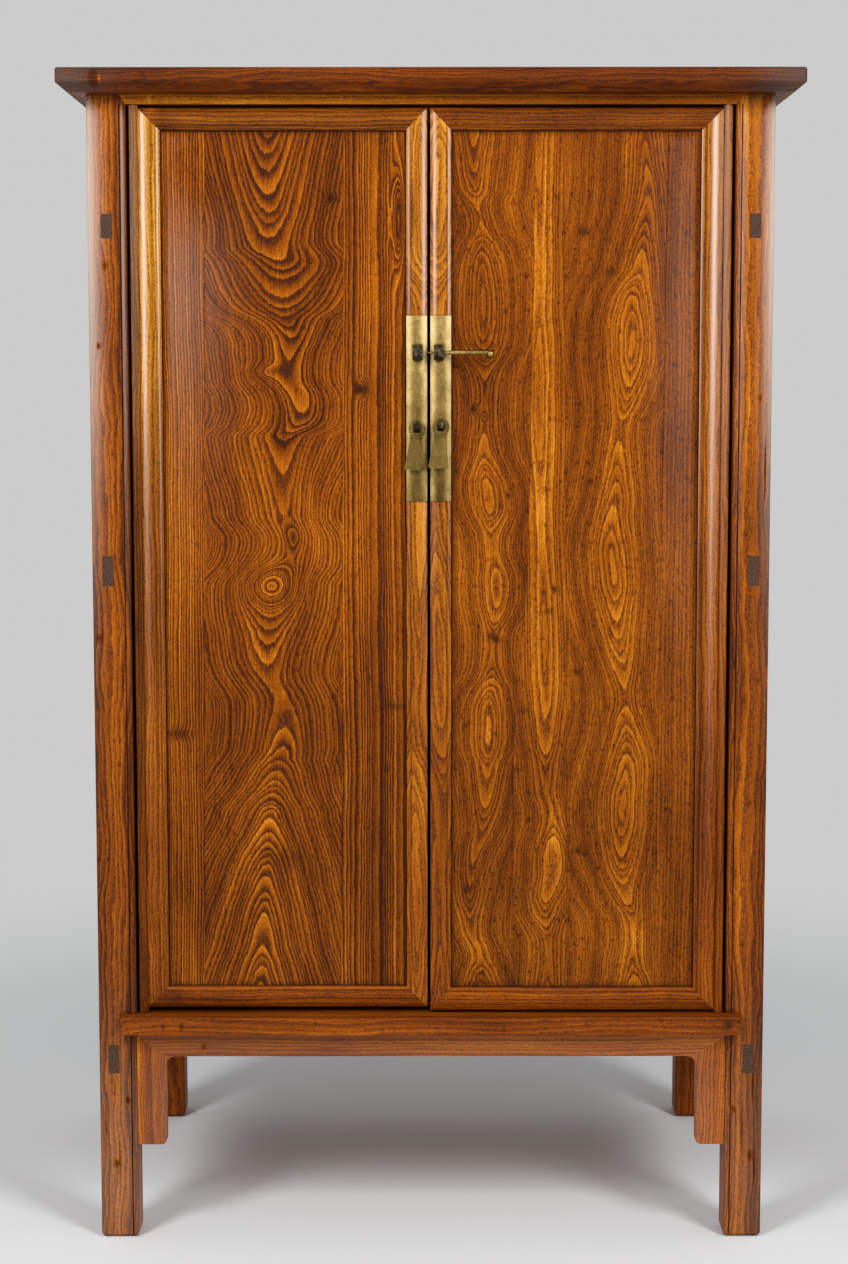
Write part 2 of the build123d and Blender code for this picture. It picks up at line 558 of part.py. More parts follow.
front_member = top_member(TOP_X, TOP_Y)
left_member = Rot(0, 0, -90) * top_member(TOP_Y, TOP_X)
top_members = {
    "top_front_member": front_member,
    "top_back_member": Rot(0, 0, 180) * front_member,
    "top_left_member": left_member,
    "top_right_member": Rot(0, 0, 180) * left_member,
}

field_x = TOP_X - TOP_FRAME_WIDTH
field_y = TOP_Y - TOP_FRAME_WIDTH
panel_bottom = HEIGHT - TOP_PANEL_THICKNESS
tongue_x = (-field_x - PANEL_TONGUE, field_x + PANEL_TONGUE)
tongue_y = (-field_y - PANEL_TONGUE, field_y + PANEL_TONGUE)
tongue_z = (panel_bottom, panel_bottom + TOP_PANEL_TONGUE_THICKNESS)
top_groove = grown_block(tongue_x, tongue_y, tongue_z, PANEL_GAP)
top_plan = Pos(0, 0, POST_TOP) * extrude(RectangleRounded(2 * TOP_X, 2 * TOP_Y, TOP_CORNER_RADIUS),
                                         amount=TOP_THICKNESS, dir=(0, 0, 1))
for name, member in top_members.items():
    member = (member & top_plan) - top_groove
    for head in post_heads:
        member -= head
    parts[name] = member

top_panel = block((-field_x + PANEL_GAP, field_x - PANEL_GAP), (-field_y + PANEL_GAP, field_y - PANEL_GAP),
                  (panel_bottom, HEIGHT))
top_panel += block(tongue_x, tongue_y, tongue_z)


def dovetail(half_width, face, deep):
    """Outline of a dovetail let into a panel: narrow at the panel's face, wide inside it."""
    return [(-half_width, face), (half_width, face), (half_width + DOVETAIL_FLARE, deep),
            (-half_width - DOVETAIL_FLARE, deep)]


top_battens = []
for side in (-1, 1):
    half = TOP_BATTEN_WIDTH / 2
    key = prism_xz(dovetail(half, panel_bottom, panel_bottom + DOVETAIL_DEPTH), (-field_y, field_y))
    batten = block((-half, half), (-field_y, field_y), (POST_TOP, panel_bottom)) + key
    place = Pos(side * TOP_BATTEN_OFFSET, 0, 0)
    top_panel -= place * prism_xz(dovetail(half, panel_bottom - PANEL_GAP, panel_bottom + DOVETAIL_DEPTH),
                                  (-field_y - PANEL_TONGUE, field_y + PANEL_TONGUE))
    top_battens.append(place * batten)
parts["top_panel"] = top_panel
parts["top_battens"] = Compound(children=top_battens)

# ---------------------------------------------------------------- doors
# A door is drawn as a left-hand one, its pivots at -X, and mirrored for the right.


def crowned_section(width):
    """Section of a door stile or rail: outer edge at 0, crown at depth 0, bead beside the panel."""
    face = Polyline((width, STILE_CROWN), (width, DOOR_THICKNESS), (0, DOOR_THICKNESS), (0, STILE_CROWN))
    crown = ThreePointArc((0, STILE_CROWN), (width / 2, 0), (width, STILE_CROWN))
    section = make_face(face.edges() + crown.edges())
    half = width / 2
    radius = (half ** 2 + STILE_CROWN ** 2) / (2 * STILE_CROWN)
    offset = half - STILE_BEAD
    depth = radius - (radius ** 2 - offset ** 2) ** 0.5
    return section - Pos(width - STILE_BEAD, depth) * Circle(STILE_BEAD_GROOVE)


def crown_band(width, near, far):
    """Section of a sheet bent over the crown of a stile, between two distances from it."""
    half = width / 2
    low = Polyline((0, STILE_CROWN - near), (0, STILE_CROWN - far))
    high = Polyline((width, STILE_CROWN - far), (width, STILE_CROWN - near))
    outer = ThreePointArc((0, STILE_CROWN - far), (half, -far), (width, STILE_CROWN - far))
    inner = ThreePointArc((width, STILE_CROWN - near), (half, -near), (0, STILE_CROWN - near))
    return make_face(low.edges() + outer.edges() + high.edges() + inner.edges())


def bar_along(section, corner, across, along, length):
    """Carry a section from a corner: `across` is the way its width runs, `along` the way it goes."""
    plane = Plane(origin=corner, x_dir=across, z_dir=along)
    return extrude(plane * section, amount=length, dir=along)


def eye_block(middle, width, half_height, base_y, hole):
    """An iron staple seen from the side as a D: flat at its base, round in front, with an eye."""
    x = (middle.X - width / 2, middle.X + width / 2)
    nose = Pos(middle.X, middle.Y, middle.Z) * Rot(0, 90, 0) * Cylinder(half_height, width)
    height = (middle.Z - half_height, middle.Z + half_height)
    body = block(x, (middle.Y, base_y), height)
    behind = block(x, (base_y, base_y + half_height), height)
    return nose + body - behind - hole


def door(edge_x, bottom, bottom_rail_width, staple_x, pull_x, boss_top_drop, pull_lean):
    """All the pieces of a left-hand door whose free edge is at edge_x; returns them by name."""
    pieces = {}
    outer_x = -PIVOT_X + PIVOT_STRIP / 2               # where the pivot strip ends and the stile begins
    inner_x = outer_x + PIVOT_STILE_WIDTH              # panel side of the pivot stile
    meet_x = edge_x - MEETING_STILE_WIDTH              # panel side of the meeting stile
    rail_z = (bottom + bottom_rail_width, DOOR_TOP - DOOR_TOP_RAIL)
    depth = (Y_DOOR - STILE_CROWN, Y_DOOR_BACK + STILE_CROWN)

    # mitred frame
    left_plan = prism_xz([(outer_x, bottom), (outer_x, DOOR_TOP), (inner_x, rail_z[1]), (inner_x, rail_z[0])],
                         depth)
    right_plan = prism_xz([(edge_x, bottom), (edge_x, DOOR_TOP), (meet_x, rail_z[1]), (meet_x, rail_z[0])],
                          depth)
    top_plan = prism_xz([(outer_x, DOOR_TOP), (edge_x, DOOR_TOP), (meet_x, rail_z[1]), (inner_x, rail_z[1])],
                        depth)
    low_plan = prism_xz([(outer_x, bottom), (edge_x, bottom), (meet_x, rail_z[0]), (inner_x, rail_z[0])],
                        depth)
    height = DOOR_TOP - bottom
    width = edge_x - outer_x
    stile = bar_along(crowned_section(PIVOT_STILE_WIDTH), (outer_x, Y_DOOR, bottom), (1, 0, 0), (0, 0, 1),
                      height) & left_plan
    meeting = bar_along(crowned_section(MEETING_STILE_WIDTH), (edge_x, Y_DOOR, DOOR_TOP), (-1, 0, 0),
                        (0, 0, -1), height) & right_plan
    top_rail = bar_along(crowned_section(DOOR_TOP_RAIL), (outer_x, Y_DOOR, DOOR_TOP), (0, 0, -1),
                         (1, 0, 0), width) & top_plan
    low_rail = bar_along(crowned_section(bottom_rail_width), (edge_x, Y_DOOR, bottom), (0, 0, 1),
                         (-1, 0, 0), width) & low_plan

    # panel, in a groove all round
    panel_front = Y_DOOR + DOOR_PANEL_RECESS
    panel_back = panel_front + DOOR_PANEL_THICKNESS
    margin = DOOR_PANEL_MARGIN
    panel = block((inner_x + margin, meet_x - margin), (panel_front, panel_back),
                  (rail_z[0] + margin, rail_z[1] - margin))
    tongue = ((inner_x - PANEL_TONGUE, meet_x + PANEL_TONGUE), (panel_back - DOOR_PANEL_TONGUE, panel_back),
              (rail_z[0] - PANEL_TONGUE, rail_z[1] + PANEL_TONGUE))
    panel += block(*tongue)
    groove = grown_block(*tongue, PANEL_GAP)

    # hidden tenons of the rails, behind the panel groove
    tenon_y = (panel_back + DOOR_TENON_INSET, panel_back + DOOR_TENON_INSET + DOOR_TENON_THICKNESS)
    tenon_xs = [(inner_x - DOOR_TENON_LENGTH, inner_x), (meet_x, meet_x + DOOR_TENON_LENGTH)]
    top_tenon_z = (rail_z[1], rail_z[1] + DOOR_TENON_HEIGHT)
    low_tenon_z = (rail_z[0] - DOOR_TENON_HEIGHT, rail_z[0])
    for tenon_x in tenon_xs:
        top_rail += block(tenon_x, tenon_y, top_tenon_z)
        low_rail += block(tenon_x, tenon_y, low_tenon_z)
    for tenon_z in (top_tenon_z, low_tenon_z):
        stile -= grown_block(tenon_xs[0], tenon_y, tenon_z, JOINT_GAP)
        meeting -= grown_block(tenon_xs[1], tenon_y, tenon_z, JOINT_GAP)

    # battens, dovetailed into the back of the panel
    battens = []
    spacing = (rail_z[1] - rail_z[0]) / DOOR_BATTEN_COUNT
    for number in range(DOOR_BATTEN_COUNT):
        z = rail_z[0] + (number + 0.5) * spacing
        half = DOOR_BATTEN_WIDTH / 2
        tail = [(panel_back + JOINT_GAP, z - half), (panel_back + JOINT_GAP, z + half),
                (panel_back - DOVETAIL_DEPTH, z + half + DOVETAIL_FLARE),
                (panel_back - DOVETAIL_DEPTH, z - half - DOVETAIL_FLARE)]
        across = (inner_x + PANEL_GAP, meet_x - PANEL_GAP)
        panel -= prism_yz(tail, (inner_x - PANEL_TONGUE, meet_x + PANEL_TONGUE))
        key = prism_yz(tail, across)
        bar = block(across, (panel_back, panel_back + DOOR_BATTEN_DEPTH), (z - half, z + half))
        battens.append(key + bar)

    # pivot strip with a pin at each end
    strip_z = (SILL_TOP + PIVOT_SHOULDER_GAP, HEAD_RAIL_BOTTOM - PIVOT_SHOULDER_GAP)
    strip_x = (-PIVOT_X - PIVOT_STRIP / 2, outer_x)
    strip = block(strip_x, (PIVOT_Y, Y_DOOR_BACK), strip_z)
    strip_middle = (strip_z[0] + strip_z[1]) / 2
    strip += Pos(-PIVOT_X, PIVOT_Y, strip_middle) * Cylinder(PIVOT_STRIP / 2, strip_z[1] - strip_z[0])
    pins_height = strip_z[1] - strip_z[0] + 2 * PIVOT_PIN_LENGTH
    strip += Pos(-PIVOT_X, PIVOT_Y, strip_middle) * Cylinder(PIVOT_PIN_RADIUS, pins_height)

    # hardware on the meeting stile
    plate_z = (PLATE_TOP - PLATE_LENGTH, PLATE_TOP)
    plate = bar_along(crown_band(MEETING_STILE_WIDTH, PLATE_GAP, PLATE_GAP + PLATE_THICKNESS),
                      (edge_x, Y_DOOR, plate_z[1]), (-1, 0, 0), (0, 0, -1), PLATE_LENGTH)

    staple_middle = Vector(staple_x, STAPLE_Y, STAPLE_Z)
    eye = Pos(staple_x, STAPLE_Y, STAPLE_Z) * Box(2 * STAPLE_WIDTH, STAPLE_EYE_DEPTH, STAPLE_EYE_HEIGHT)
    eye = round_edges(eye, Axis.X, STAPLE_EYE_RADIUS)
    staple = eye_block(staple_middle, STAPLE_WIDTH, STAPLE_HEIGHT / 2, Y_PLATE, eye)
    tail = ((staple_x - STAPLE_TAIL / 2, staple_x + STAPLE_TAIL / 2), (Y_PLATE, Y_DOOR + STAPLE_TAIL_LENGTH),
            (STAPLE_Z - STAPLE_TAIL / 2, STAPLE_Z + STAPLE_TAIL / 2))
    staple += block(*tail)

    boss_z = PLATE_TOP - boss_top_drop - BOSS_RADIUS
    pull_z = PLATE_TOP - boss_top_drop - PULL_STAPLE_DROP
    cap_radius = (BOSS_RADIUS ** 2 + (BOSS_HEIGHT - BOSS_RIM) ** 2) / (2 * (BOSS_HEIGHT - BOSS_RIM))
    cap = Pos(0, 0, BOSS_HEIGHT - cap_radius) * Sphere(cap_radius)
    boss = (Pos(0, 0, BOSS_HEIGHT / 2) * Cylinder(BOSS_RADIUS, BOSS_HEIGHT)) & cap
    boss = Pos(pull_x, Y_PLATE, boss_z) * Rot(90, 0, 0) * boss

    pull_middle = Vector(pull_x, PULL_Y, pull_z)
    pull_eye = Pos(pull_x, PULL_Y, pull_z) * Rot(0, 90, 0) * Cylinder(PULL_STAPLE_EYE, 2 * PULL_STAPLE_WIDTH)
    pull_staple = eye_block(pull_middle, PULL_STAPLE_WIDTH, PULL_STAPLE_RADIUS, Y_PLATE - BOSS_HEIGHT,
                            pull_eye)
    half_tail = PULL_STAPLE_TAIL / 2
    pull_tail = ((pull_x - half_tail, pull_x + half_tail),
                 (Y_PLATE - BOSS_HEIGHT, Y_DOOR + PULL_STAPLE_TAIL_LENGTH),
                 (pull_z - half_tail, pull_z + half_tail))
    pull_staple += block(*pull_tail)

    pieces["pivot_stile"] = stile - groove + strip
    pieces["meeting_stile"] = (meeting - groove - grown_block(*tail, JOINT_GAP)
                               - grown_block(*pull_tail, JOINT_GAP))
    pieces["top_rail"] = top_rail - groove
    pieces["bottom_rail"] = low_rail - groove
    pieces["panel"] = panel
    pieces["battens"] = Compound(children=battens)
    pieces["face_plate"] = plate - grown_block(*tail, JOINT_GAP) - grown_block(*pull_tail, JOINT_GAP)
    pieces["staple"] = staple
    pieces["boss"] = boss - grown_block(*pull_tail, JOINT_GAP)
    pieces["pull_staple"] = pull_staple
    pieces["pull"] = Pos(pull_x, PULL_Y, pull_z) * Rot(0, pull_lean, 0) * pull_leaf()
    return pieces


def pull_leaf():
    """A fishtail pull, hanging from the origin, cut from sheet brass."""
    sheet = (-PULL_THICKNESS / 2, PULL_THICKNESS / 2)
    head_middle = PULL_STAPLE_DROP - BOSS_RADIUS
    head = Pos(0, 0, head_middle) * Rot(90, 0, 0) * Cylinder(PULL_HEAD_RADIUS, PULL_THICKNESS)
    head -= block((-BOSS_RADIUS, BOSS_RADIUS), (-BOSS_RADIUS, BOSS_RADIUS),
                  (PULL_RIM, PULL_RIM + BOSS_RADIUS))
    head -= block((-PULL_SLOT_WIDTH / 2, PULL_SLOT_WIDTH / 2), (-BOSS_RADIUS, BOSS_RADIUS),
                  (-PULL_RIM - PULL_SLOT_HEIGHT, -PULL_RIM))
    collar_z = (-PULL_COLLAR_DROP - PULL_COLLAR_HEIGHT, -PULL_COLLAR_DROP)
    collar = block((-PULL_COLLAR_WIDTH / 2, PULL_COLLAR_WIDTH / 2),
                   (sheet[0] - PULL_COLLAR_PROUD, sheet[1]), collar_z)
    scallop = PULL_FOOT_WIDTH / PULL_SCALLOPS / 2
    foot_z = -PULL_LENGTH + scallop
    tail = prism_xz([(-PULL_NECK_WIDTH / 2, collar_z[0]), (PULL_NECK_WIDTH / 2, collar_z[0]),
                     (PULL_FOOT_WIDTH / 2, foot_z), (-PULL_FOOT_WIDTH / 2, foot_z)], sheet)
    leaf = head + collar + tail
    for number in range(PULL_SCALLOPS):
        x = -PULL_FOOT_WIDTH / 2 + (2 * number + 1) * scallop
        leaf += Pos(x, 0, foot_z) * Rot(90, 0, 0) * Cylinder(scallop, PULL_THICKNESS)
    return leaf


left_door = door(LEFT_DOOR_EDGE, SILL_TOP + LEFT_DOOR_BOTTOM_GAP, LEFT_DOOR_BOTTOM_RAIL,
                 LEFT_STAPLE_X, LEFT_PULL_X, LEFT_BOSS_TOP_DROP, PULL_LEAN)
right_door = door(-RIGHT_DOOR_EDGE, SILL_TOP + RIGHT_DOOR_BOTTOM_GAP, RIGHT_DOOR_BOTTOM_RAIL,
                  -RIGHT_STAPLE_X, -RIGHT_PULL_X, RIGHT_BOSS_TOP_DROP, -PULL_LEAN)
for name, piece in left_door.items():
    parts["left_door_" + name] = piece
for name, piece in right_door.items():
    parts["right_door_" + name] = other_side(piece)

# ---------------------------------------------------------------- locking pin
# Drawn withdrawn to the right, out of the left door's staple, so that both doors can open.

pin_z = STAPLE_Z - STAPLE_EYE_HEIGHT / 2 + PIN_PLAY + PIN_RADIUS
pin_tip_x = LEFT_DOOR_EDGE + PIN_CLEARANCE
outline = make_face(Polyline((0, 0), (0, PIN_TIP_RADIUS), (PIN_TAPER, PIN_RADIUS), (PIN_LENGTH, PIN_RADIUS),
                             (PIN_LENGTH, 0), (0, 0)).edges())
pin = revolve(outline, axis=Axis.X)
pin += Pos(PIN_LENGTH, 0, -PIN_BALL_DROP) * Sphere(PIN_BALL_RADIUS)
parts["locking_pin"] = Pos(pin_tip_x, STAPLE_Y, pin_z) * pin

# ---------------------------------------------------------------- files

for name, piece in parts.items():
    export_step(piece, "parts/" + name + ".step")
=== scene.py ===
import math

import bpy
from mathutils import Matrix, Vector

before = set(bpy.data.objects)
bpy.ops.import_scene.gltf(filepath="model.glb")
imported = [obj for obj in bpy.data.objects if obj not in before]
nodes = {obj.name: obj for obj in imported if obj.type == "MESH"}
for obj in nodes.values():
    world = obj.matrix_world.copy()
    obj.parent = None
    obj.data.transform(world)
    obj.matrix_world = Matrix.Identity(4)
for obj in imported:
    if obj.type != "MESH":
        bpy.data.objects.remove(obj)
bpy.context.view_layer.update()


# ---- the four posts
# Sawn from northern elm, planed, stained honey brown and rubbed up with clear lacquer. The growth
# rings show as dark bands of open pores that fade into dense orange wood, with dashes of pore in
# them; the cut ends are grey brown, and years of wear have left small holes, nicks and dark spots.

def linear(hex_colour):
    """An sRGB colour written as hex, in linear light with an alpha of one."""
    parts = [int(hex_colour[i:i + 2], 16) / 255 for i in (1, 3, 5)]
    return [c / 12.92 if c <= 0.04045 else ((c + 0.055) / 1.055) ** 2.4 for c in parts] + [1.0]


def add(tree, kind, *values, give=0, sockets=None, stops=None, curve=None, **settings):
    """Add a node with its settings, its values or links in order and by name, its stops or curve."""
    node = tree.nodes.new(kind if kind.startswith("Node") else "ShaderNode" + kind)
    for name, value in settings.items():
        setattr(node, name, value)
    for key, value in [*enumerate(values), *(sockets or {}).items()]:
        if isinstance(value, bpy.types.NodeSocket):
            tree.links.new(value, node.inputs[key])
        elif value is not None:
            node.inputs[key].default_value = value
    if stops:
        elements = node.color_ramp.elements
        while len(elements) < len(stops):
            elements.new(1.0)
        for element, (place, colour) in zip(elements, stops):
            element.position = place
            element.color = linear(colour)
    if curve:
        points = node.mapping.curves[0].points
        while len(points) < len(curve):
            points.new(0.5, 0.5)
        for point, spot in zip(points, curve):
            point.location = spot
        node.mapping.update()
    return node.outputs[give] if node.outputs else node


def new_group(name, inputs):
    """A node group for a finish, which gives colour, roughness and height, and its input sockets."""
    group = bpy.data.node_groups.new(name, "ShaderNodeTree")
    outputs = (("Color", "Color"), ("Roughness", "Float"), ("Height", "Float"))
    for way, sockets in (("INPUT", inputs), ("OUTPUT", outputs)):
        for title, kind in sockets:
            group.interface.new_socket(title, in_out=way, socket_type="NodeSocket" + kind)
    return group, list(add(group, "NodeGroupInput").node.outputs)[:len(inputs)]


elm, (place, rings, contrast, shift, grime_and_painted_light, end, gold, specks) = new_group("stained elm", (
    ("Place", "Vector"), ("Rings", "Float"), ("Contrast", "Float"), ("Shift", "Float"), ("Grime and painted light", "Float"),
    ("End", "Float"), ("Gold", "Float"), ("Specks", "Float")))

# Lengths are in mm here, so a pattern's scale is one over its size. Dashes of pore 0.7 mm across and
# 2.5 mm long (real ones are 0.3 mm across: drawn coarser so that they show), fibres 0.7 mm across and
# 40 mm long, clouds of stain 45 mm across and 170 mm long, the rings' ragged edges 3 mm across and
# 11 mm long, and sparse dark specks 4 mm across and 7 mm long.
dashes, fibres, clouds, ragged, flecks = [
    add(elm, "TexNoise", add(elm, "VectorMath", place, scale, operation="MULTIPLY"),
        sockets={"Scale": 1.0, "Detail": 2.0, "Roughness": 0.6})
    for scale in ((1.4, 1.4, 0.40), (1.4, 1.4, 0.025), (0.022, 0.022, 0.006), (0.30, 0.30, 0.09),
                  (0.25, 0.25, 0.14))]
MEAN = 0.5              # of every noise
uneven = add(elm, "Math", add(elm, "Math", ragged, MEAN, operation="SUBTRACT"), 0.5, rings,
             operation="MULTIPLY_ADD")
# Good and lean years: over about three of them the rings widen and narrow, by up to YEARS rings, and
# whole groups of them are lighter or darker.
YEARS = 1.6
years, groups = [
    add(elm, "TexNoise", noise_dimensions="1D", sockets={
        "W": add(elm, "Math", uneven, pace, operation="MULTIPLY"), "Scale": 1.0, "Detail": 0.0})
    for pace in (0.35, 0.30)]
count = add(elm, "Math", years, YEARS, uneven, operation="MULTIPLY_ADD")
season = add(elm, "Math", count, operation="FRACT")
vigour = add(elm, "TexWhiteNoise", sockets={"W": add(elm, "Math", count, operation="FLOOR")},
             noise_dimensions="1D")
# A ring begins dark and porous and brightens slowly to a thin, sharp, light edge.
late = add(elm, "ValToRGB", season, stops=[
    (0.0, "#f4f4f4"), (0.04, "#b3b3b3"), (0.12, "#818181"), (0.30, "#959595"), (0.50, "#cecece"),
    (0.75, "#ededed"), (0.92, "#ffffff"), (1.0, "#fafafa")])
# Some rings swing further from the wood's middle tone than others. On the scale of tones, 0 is the
# darkest wood and 1 the lightest.
RING_MIDDLE, WOOD_MIDDLE = 0.55, 0.48
swing = add(elm, "Math", add(elm, "MapRange", vigour, 0.0, 1.0, 0.35, 0.80), contrast, operation="MULTIPLY")
tone = add(elm, "Math", add(elm, "Math", late, RING_MIDDLE, operation="SUBTRACT"), swing, WOOD_MIDDLE,
           operation="MULTIPLY_ADD")
# Pores darken the open early wood most.
pores = add(elm, "MapRange", dashes, 0.38, 0.56, -0.24, 0.05)
open_wood = add(elm, "MapRange", late, 0.2, 0.9, 1.0, 0.4)
tone = add(elm, "Math", pores, open_wood, tone, operation="MULTIPLY_ADD")
for pattern, weight in ((fibres, 0.52), (clouds, 0.62), (groups, 0.36)):
    centred = add(elm, "Math", pattern, MEAN, operation="SUBTRACT")
    tone = add(elm, "Math", centred, weight, tone, operation="MULTIPLY_ADD")
spotted = add(elm, "Math", add(elm, "MapRange", flecks, 0.60, 0.70, 0.0, -0.5), specks, operation="MULTIPLY")
tone = add(elm, "Math", add(elm, "Math", tone, spotted, operation="ADD"), shift, operation="ADD")
# The stain is red brown, and honey coloured where gold is given: some pieces have that colour, and up
# the door stiles it is painted highlight of the lamps.
stain = add(elm, "ValToRGB", tone, stops=[
    (0.0, "#2c0f05"), (0.20, "#512106"), (0.40, "#763506"), (0.60, "#974a07"), (0.80, "#ba650c"),
    (1.0, "#da8f24")])
honey = add(elm, "ValToRGB", tone, stops=[
    (0.0, "#3a1e08"), (0.25, "#6e4208"), (0.5, "#a5680f"), (0.75, "#cf9022"), (1.0, "#eebf55")])
wood = add(elm, "Mix", gold, data_type="RGBA", sockets={6: stain, 7: honey}, give=2)
# The open pores of the early wood hold a purplish filler.
early = add(elm, "MapRange", late, 0.62, 0.22, 0.0, 0.45)
filler = add(elm, "Math", add(elm, "MapRange", dashes, 0.42, 0.56, 1.0, 0.0), early, operation="MULTIPLY")
wood = add(elm, "Mix", filler, data_type="RGBA", sockets={6: wood, 7: linear("#4c2c26")}, give=2)
# Grime darkens towards this colour: real dirt in seams, nicks and cracks, and painted shade along joints,
# grooves, the panels' edges and under the top.
stained = add(elm, "Mix", grime_and_painted_light, data_type="RGBA", sockets={6: wood, 7: linear("#24120b")}, give=2)
# Grime below nothing is a pale haze: mostly painted highlight of the lamps on rounds, beads and panels;
# on the feet it is dust, and on the top's ends worn, dull lacquer.
haze_and_sheen = add(elm, "Math", grime_and_painted_light, -1.0, operation="MULTIPLY")
with_haze_and_sheen = add(elm, "Mix", haze_and_sheen, data_type="RGBA", sockets={6: stained, 7: linear("#f0dccb")}, give=2)
# Cut across the grain, the wood has drunk more stain and is grey brown.
end_grain = add(elm, "ValToRGB", add(elm, "Math", dashes, 0.8, fibres, operation="MULTIPLY_ADD"), stops=[
    (0.6, "#33211b"), (0.9, "#4a342a"), (1.0, "#614a3c")])
surface = add(elm, "Mix", end, data_type="RGBA", sockets={6: with_haze_and_sheen, 7: end_grain}, give=2)
# Dense light wood takes a better polish than the open dark wood.
lustre = add(elm, "MapRange", tone, 0.1, 0.9, 0.50, 0.36)
add(elm, "NodeGroupOutput", surface, lustre, tone)


def drawn_line(tree, along, points):
    """A value that changes with the distance along the grain, through given points, in mm."""
    (first, last), (least, most) = [(min(column), max(column)) for column in zip(*points)]
    way = add(tree, "MapRange", along, first, last)
    line = add(tree, "FloatCurve", 1.0, way, curve=[
        ((z - first) / (last - first), (value - least) / (most - least)) for z, value in sorted(points)])
    return add(tree, "Math", line, most - least, least, operation="MULTIPLY_ADD")


FLAME_CORE, FLAME_EDGE = 4.0, 26.0      # from the middle of a board, mm


def growth(tree, across, deep, along, heart=(0, 0), pitch=3.4, centre=None, run=None, depth=None,
           shift=0.0, fine=1.0, glow=0.0, **_):
    """Ring count, contrast and lightness of a board; places and lengths in mm.

    The count is the distance from the heart over the ring pitch. heart is the pith's place across the
    grain and deep. On a flat-sawn board centre moves it from side to side along the grain, depth is how
    far the pith lies behind the face there, and run the rings that the saw passes through at the middle,
    which gives flames and loops. Away from them the contrast falls to fine; glow lightens them."""
    middle = drawn_line(tree, along, centre) if centre else heart[0]
    off = add(tree, "Math", across, middle, operation="SUBTRACT")
    below = add(tree, "Math", deep, heart[1], operation="SUBTRACT")
    below = drawn_line(tree, along, depth) if depth else below
    reach = add(tree, "VectorMath", add(tree, "CombineXYZ", off, below), operation="LENGTH", give=1)
    if depth:
        reach = add(tree, "Math", reach, below, operation="SUBTRACT")
    passed = drawn_line(tree, along, run) if run else 0.0
    count = add(tree, "Math", reach, 1 / pitch, passed, operation="MULTIPLY_ADD")
    flame = add(tree, "MapRange", add(tree, "Math", off, operation="ABSOLUTE"), FLAME_CORE, FLAME_EDGE, 1.0,
                0.0, interpolation_type="SMOOTHSTEP")
    strength = add(tree, "Math", flame, 1.0 - fine, fine, operation="MULTIPLY_ADD")
    lightness = add(tree, "Math", flame, glow, shift, operation="MULTIPLY_ADD")
    return add(tree, "CombineXYZ", count, strength, lightness)


def new_material(name):
    """A material, its node tree, its texture coordinates, and the surface point's place in mm."""
    material = bpy.data.materials.new(name)
    material.use_nodes = True
    tree = material.node_tree
    tree.nodes.clear()
    coordinates = add(tree, "TexCoord").node.outputs
    spot = add(tree, "VectorMath", coordinates["Object"], sockets={"Scale": 1000.0}, operation="SCALE")
    return material, tree, coordinates, spot


def coat(members, material):
    """Give pieces of the frame their finish."""
    for member in members:
        for holder in nodes[member].material_slots:
            holder.material = material


SEED_STEP = (97.0, 53.0, 211.0)     # mm: each piece is cut from another place of the same wood


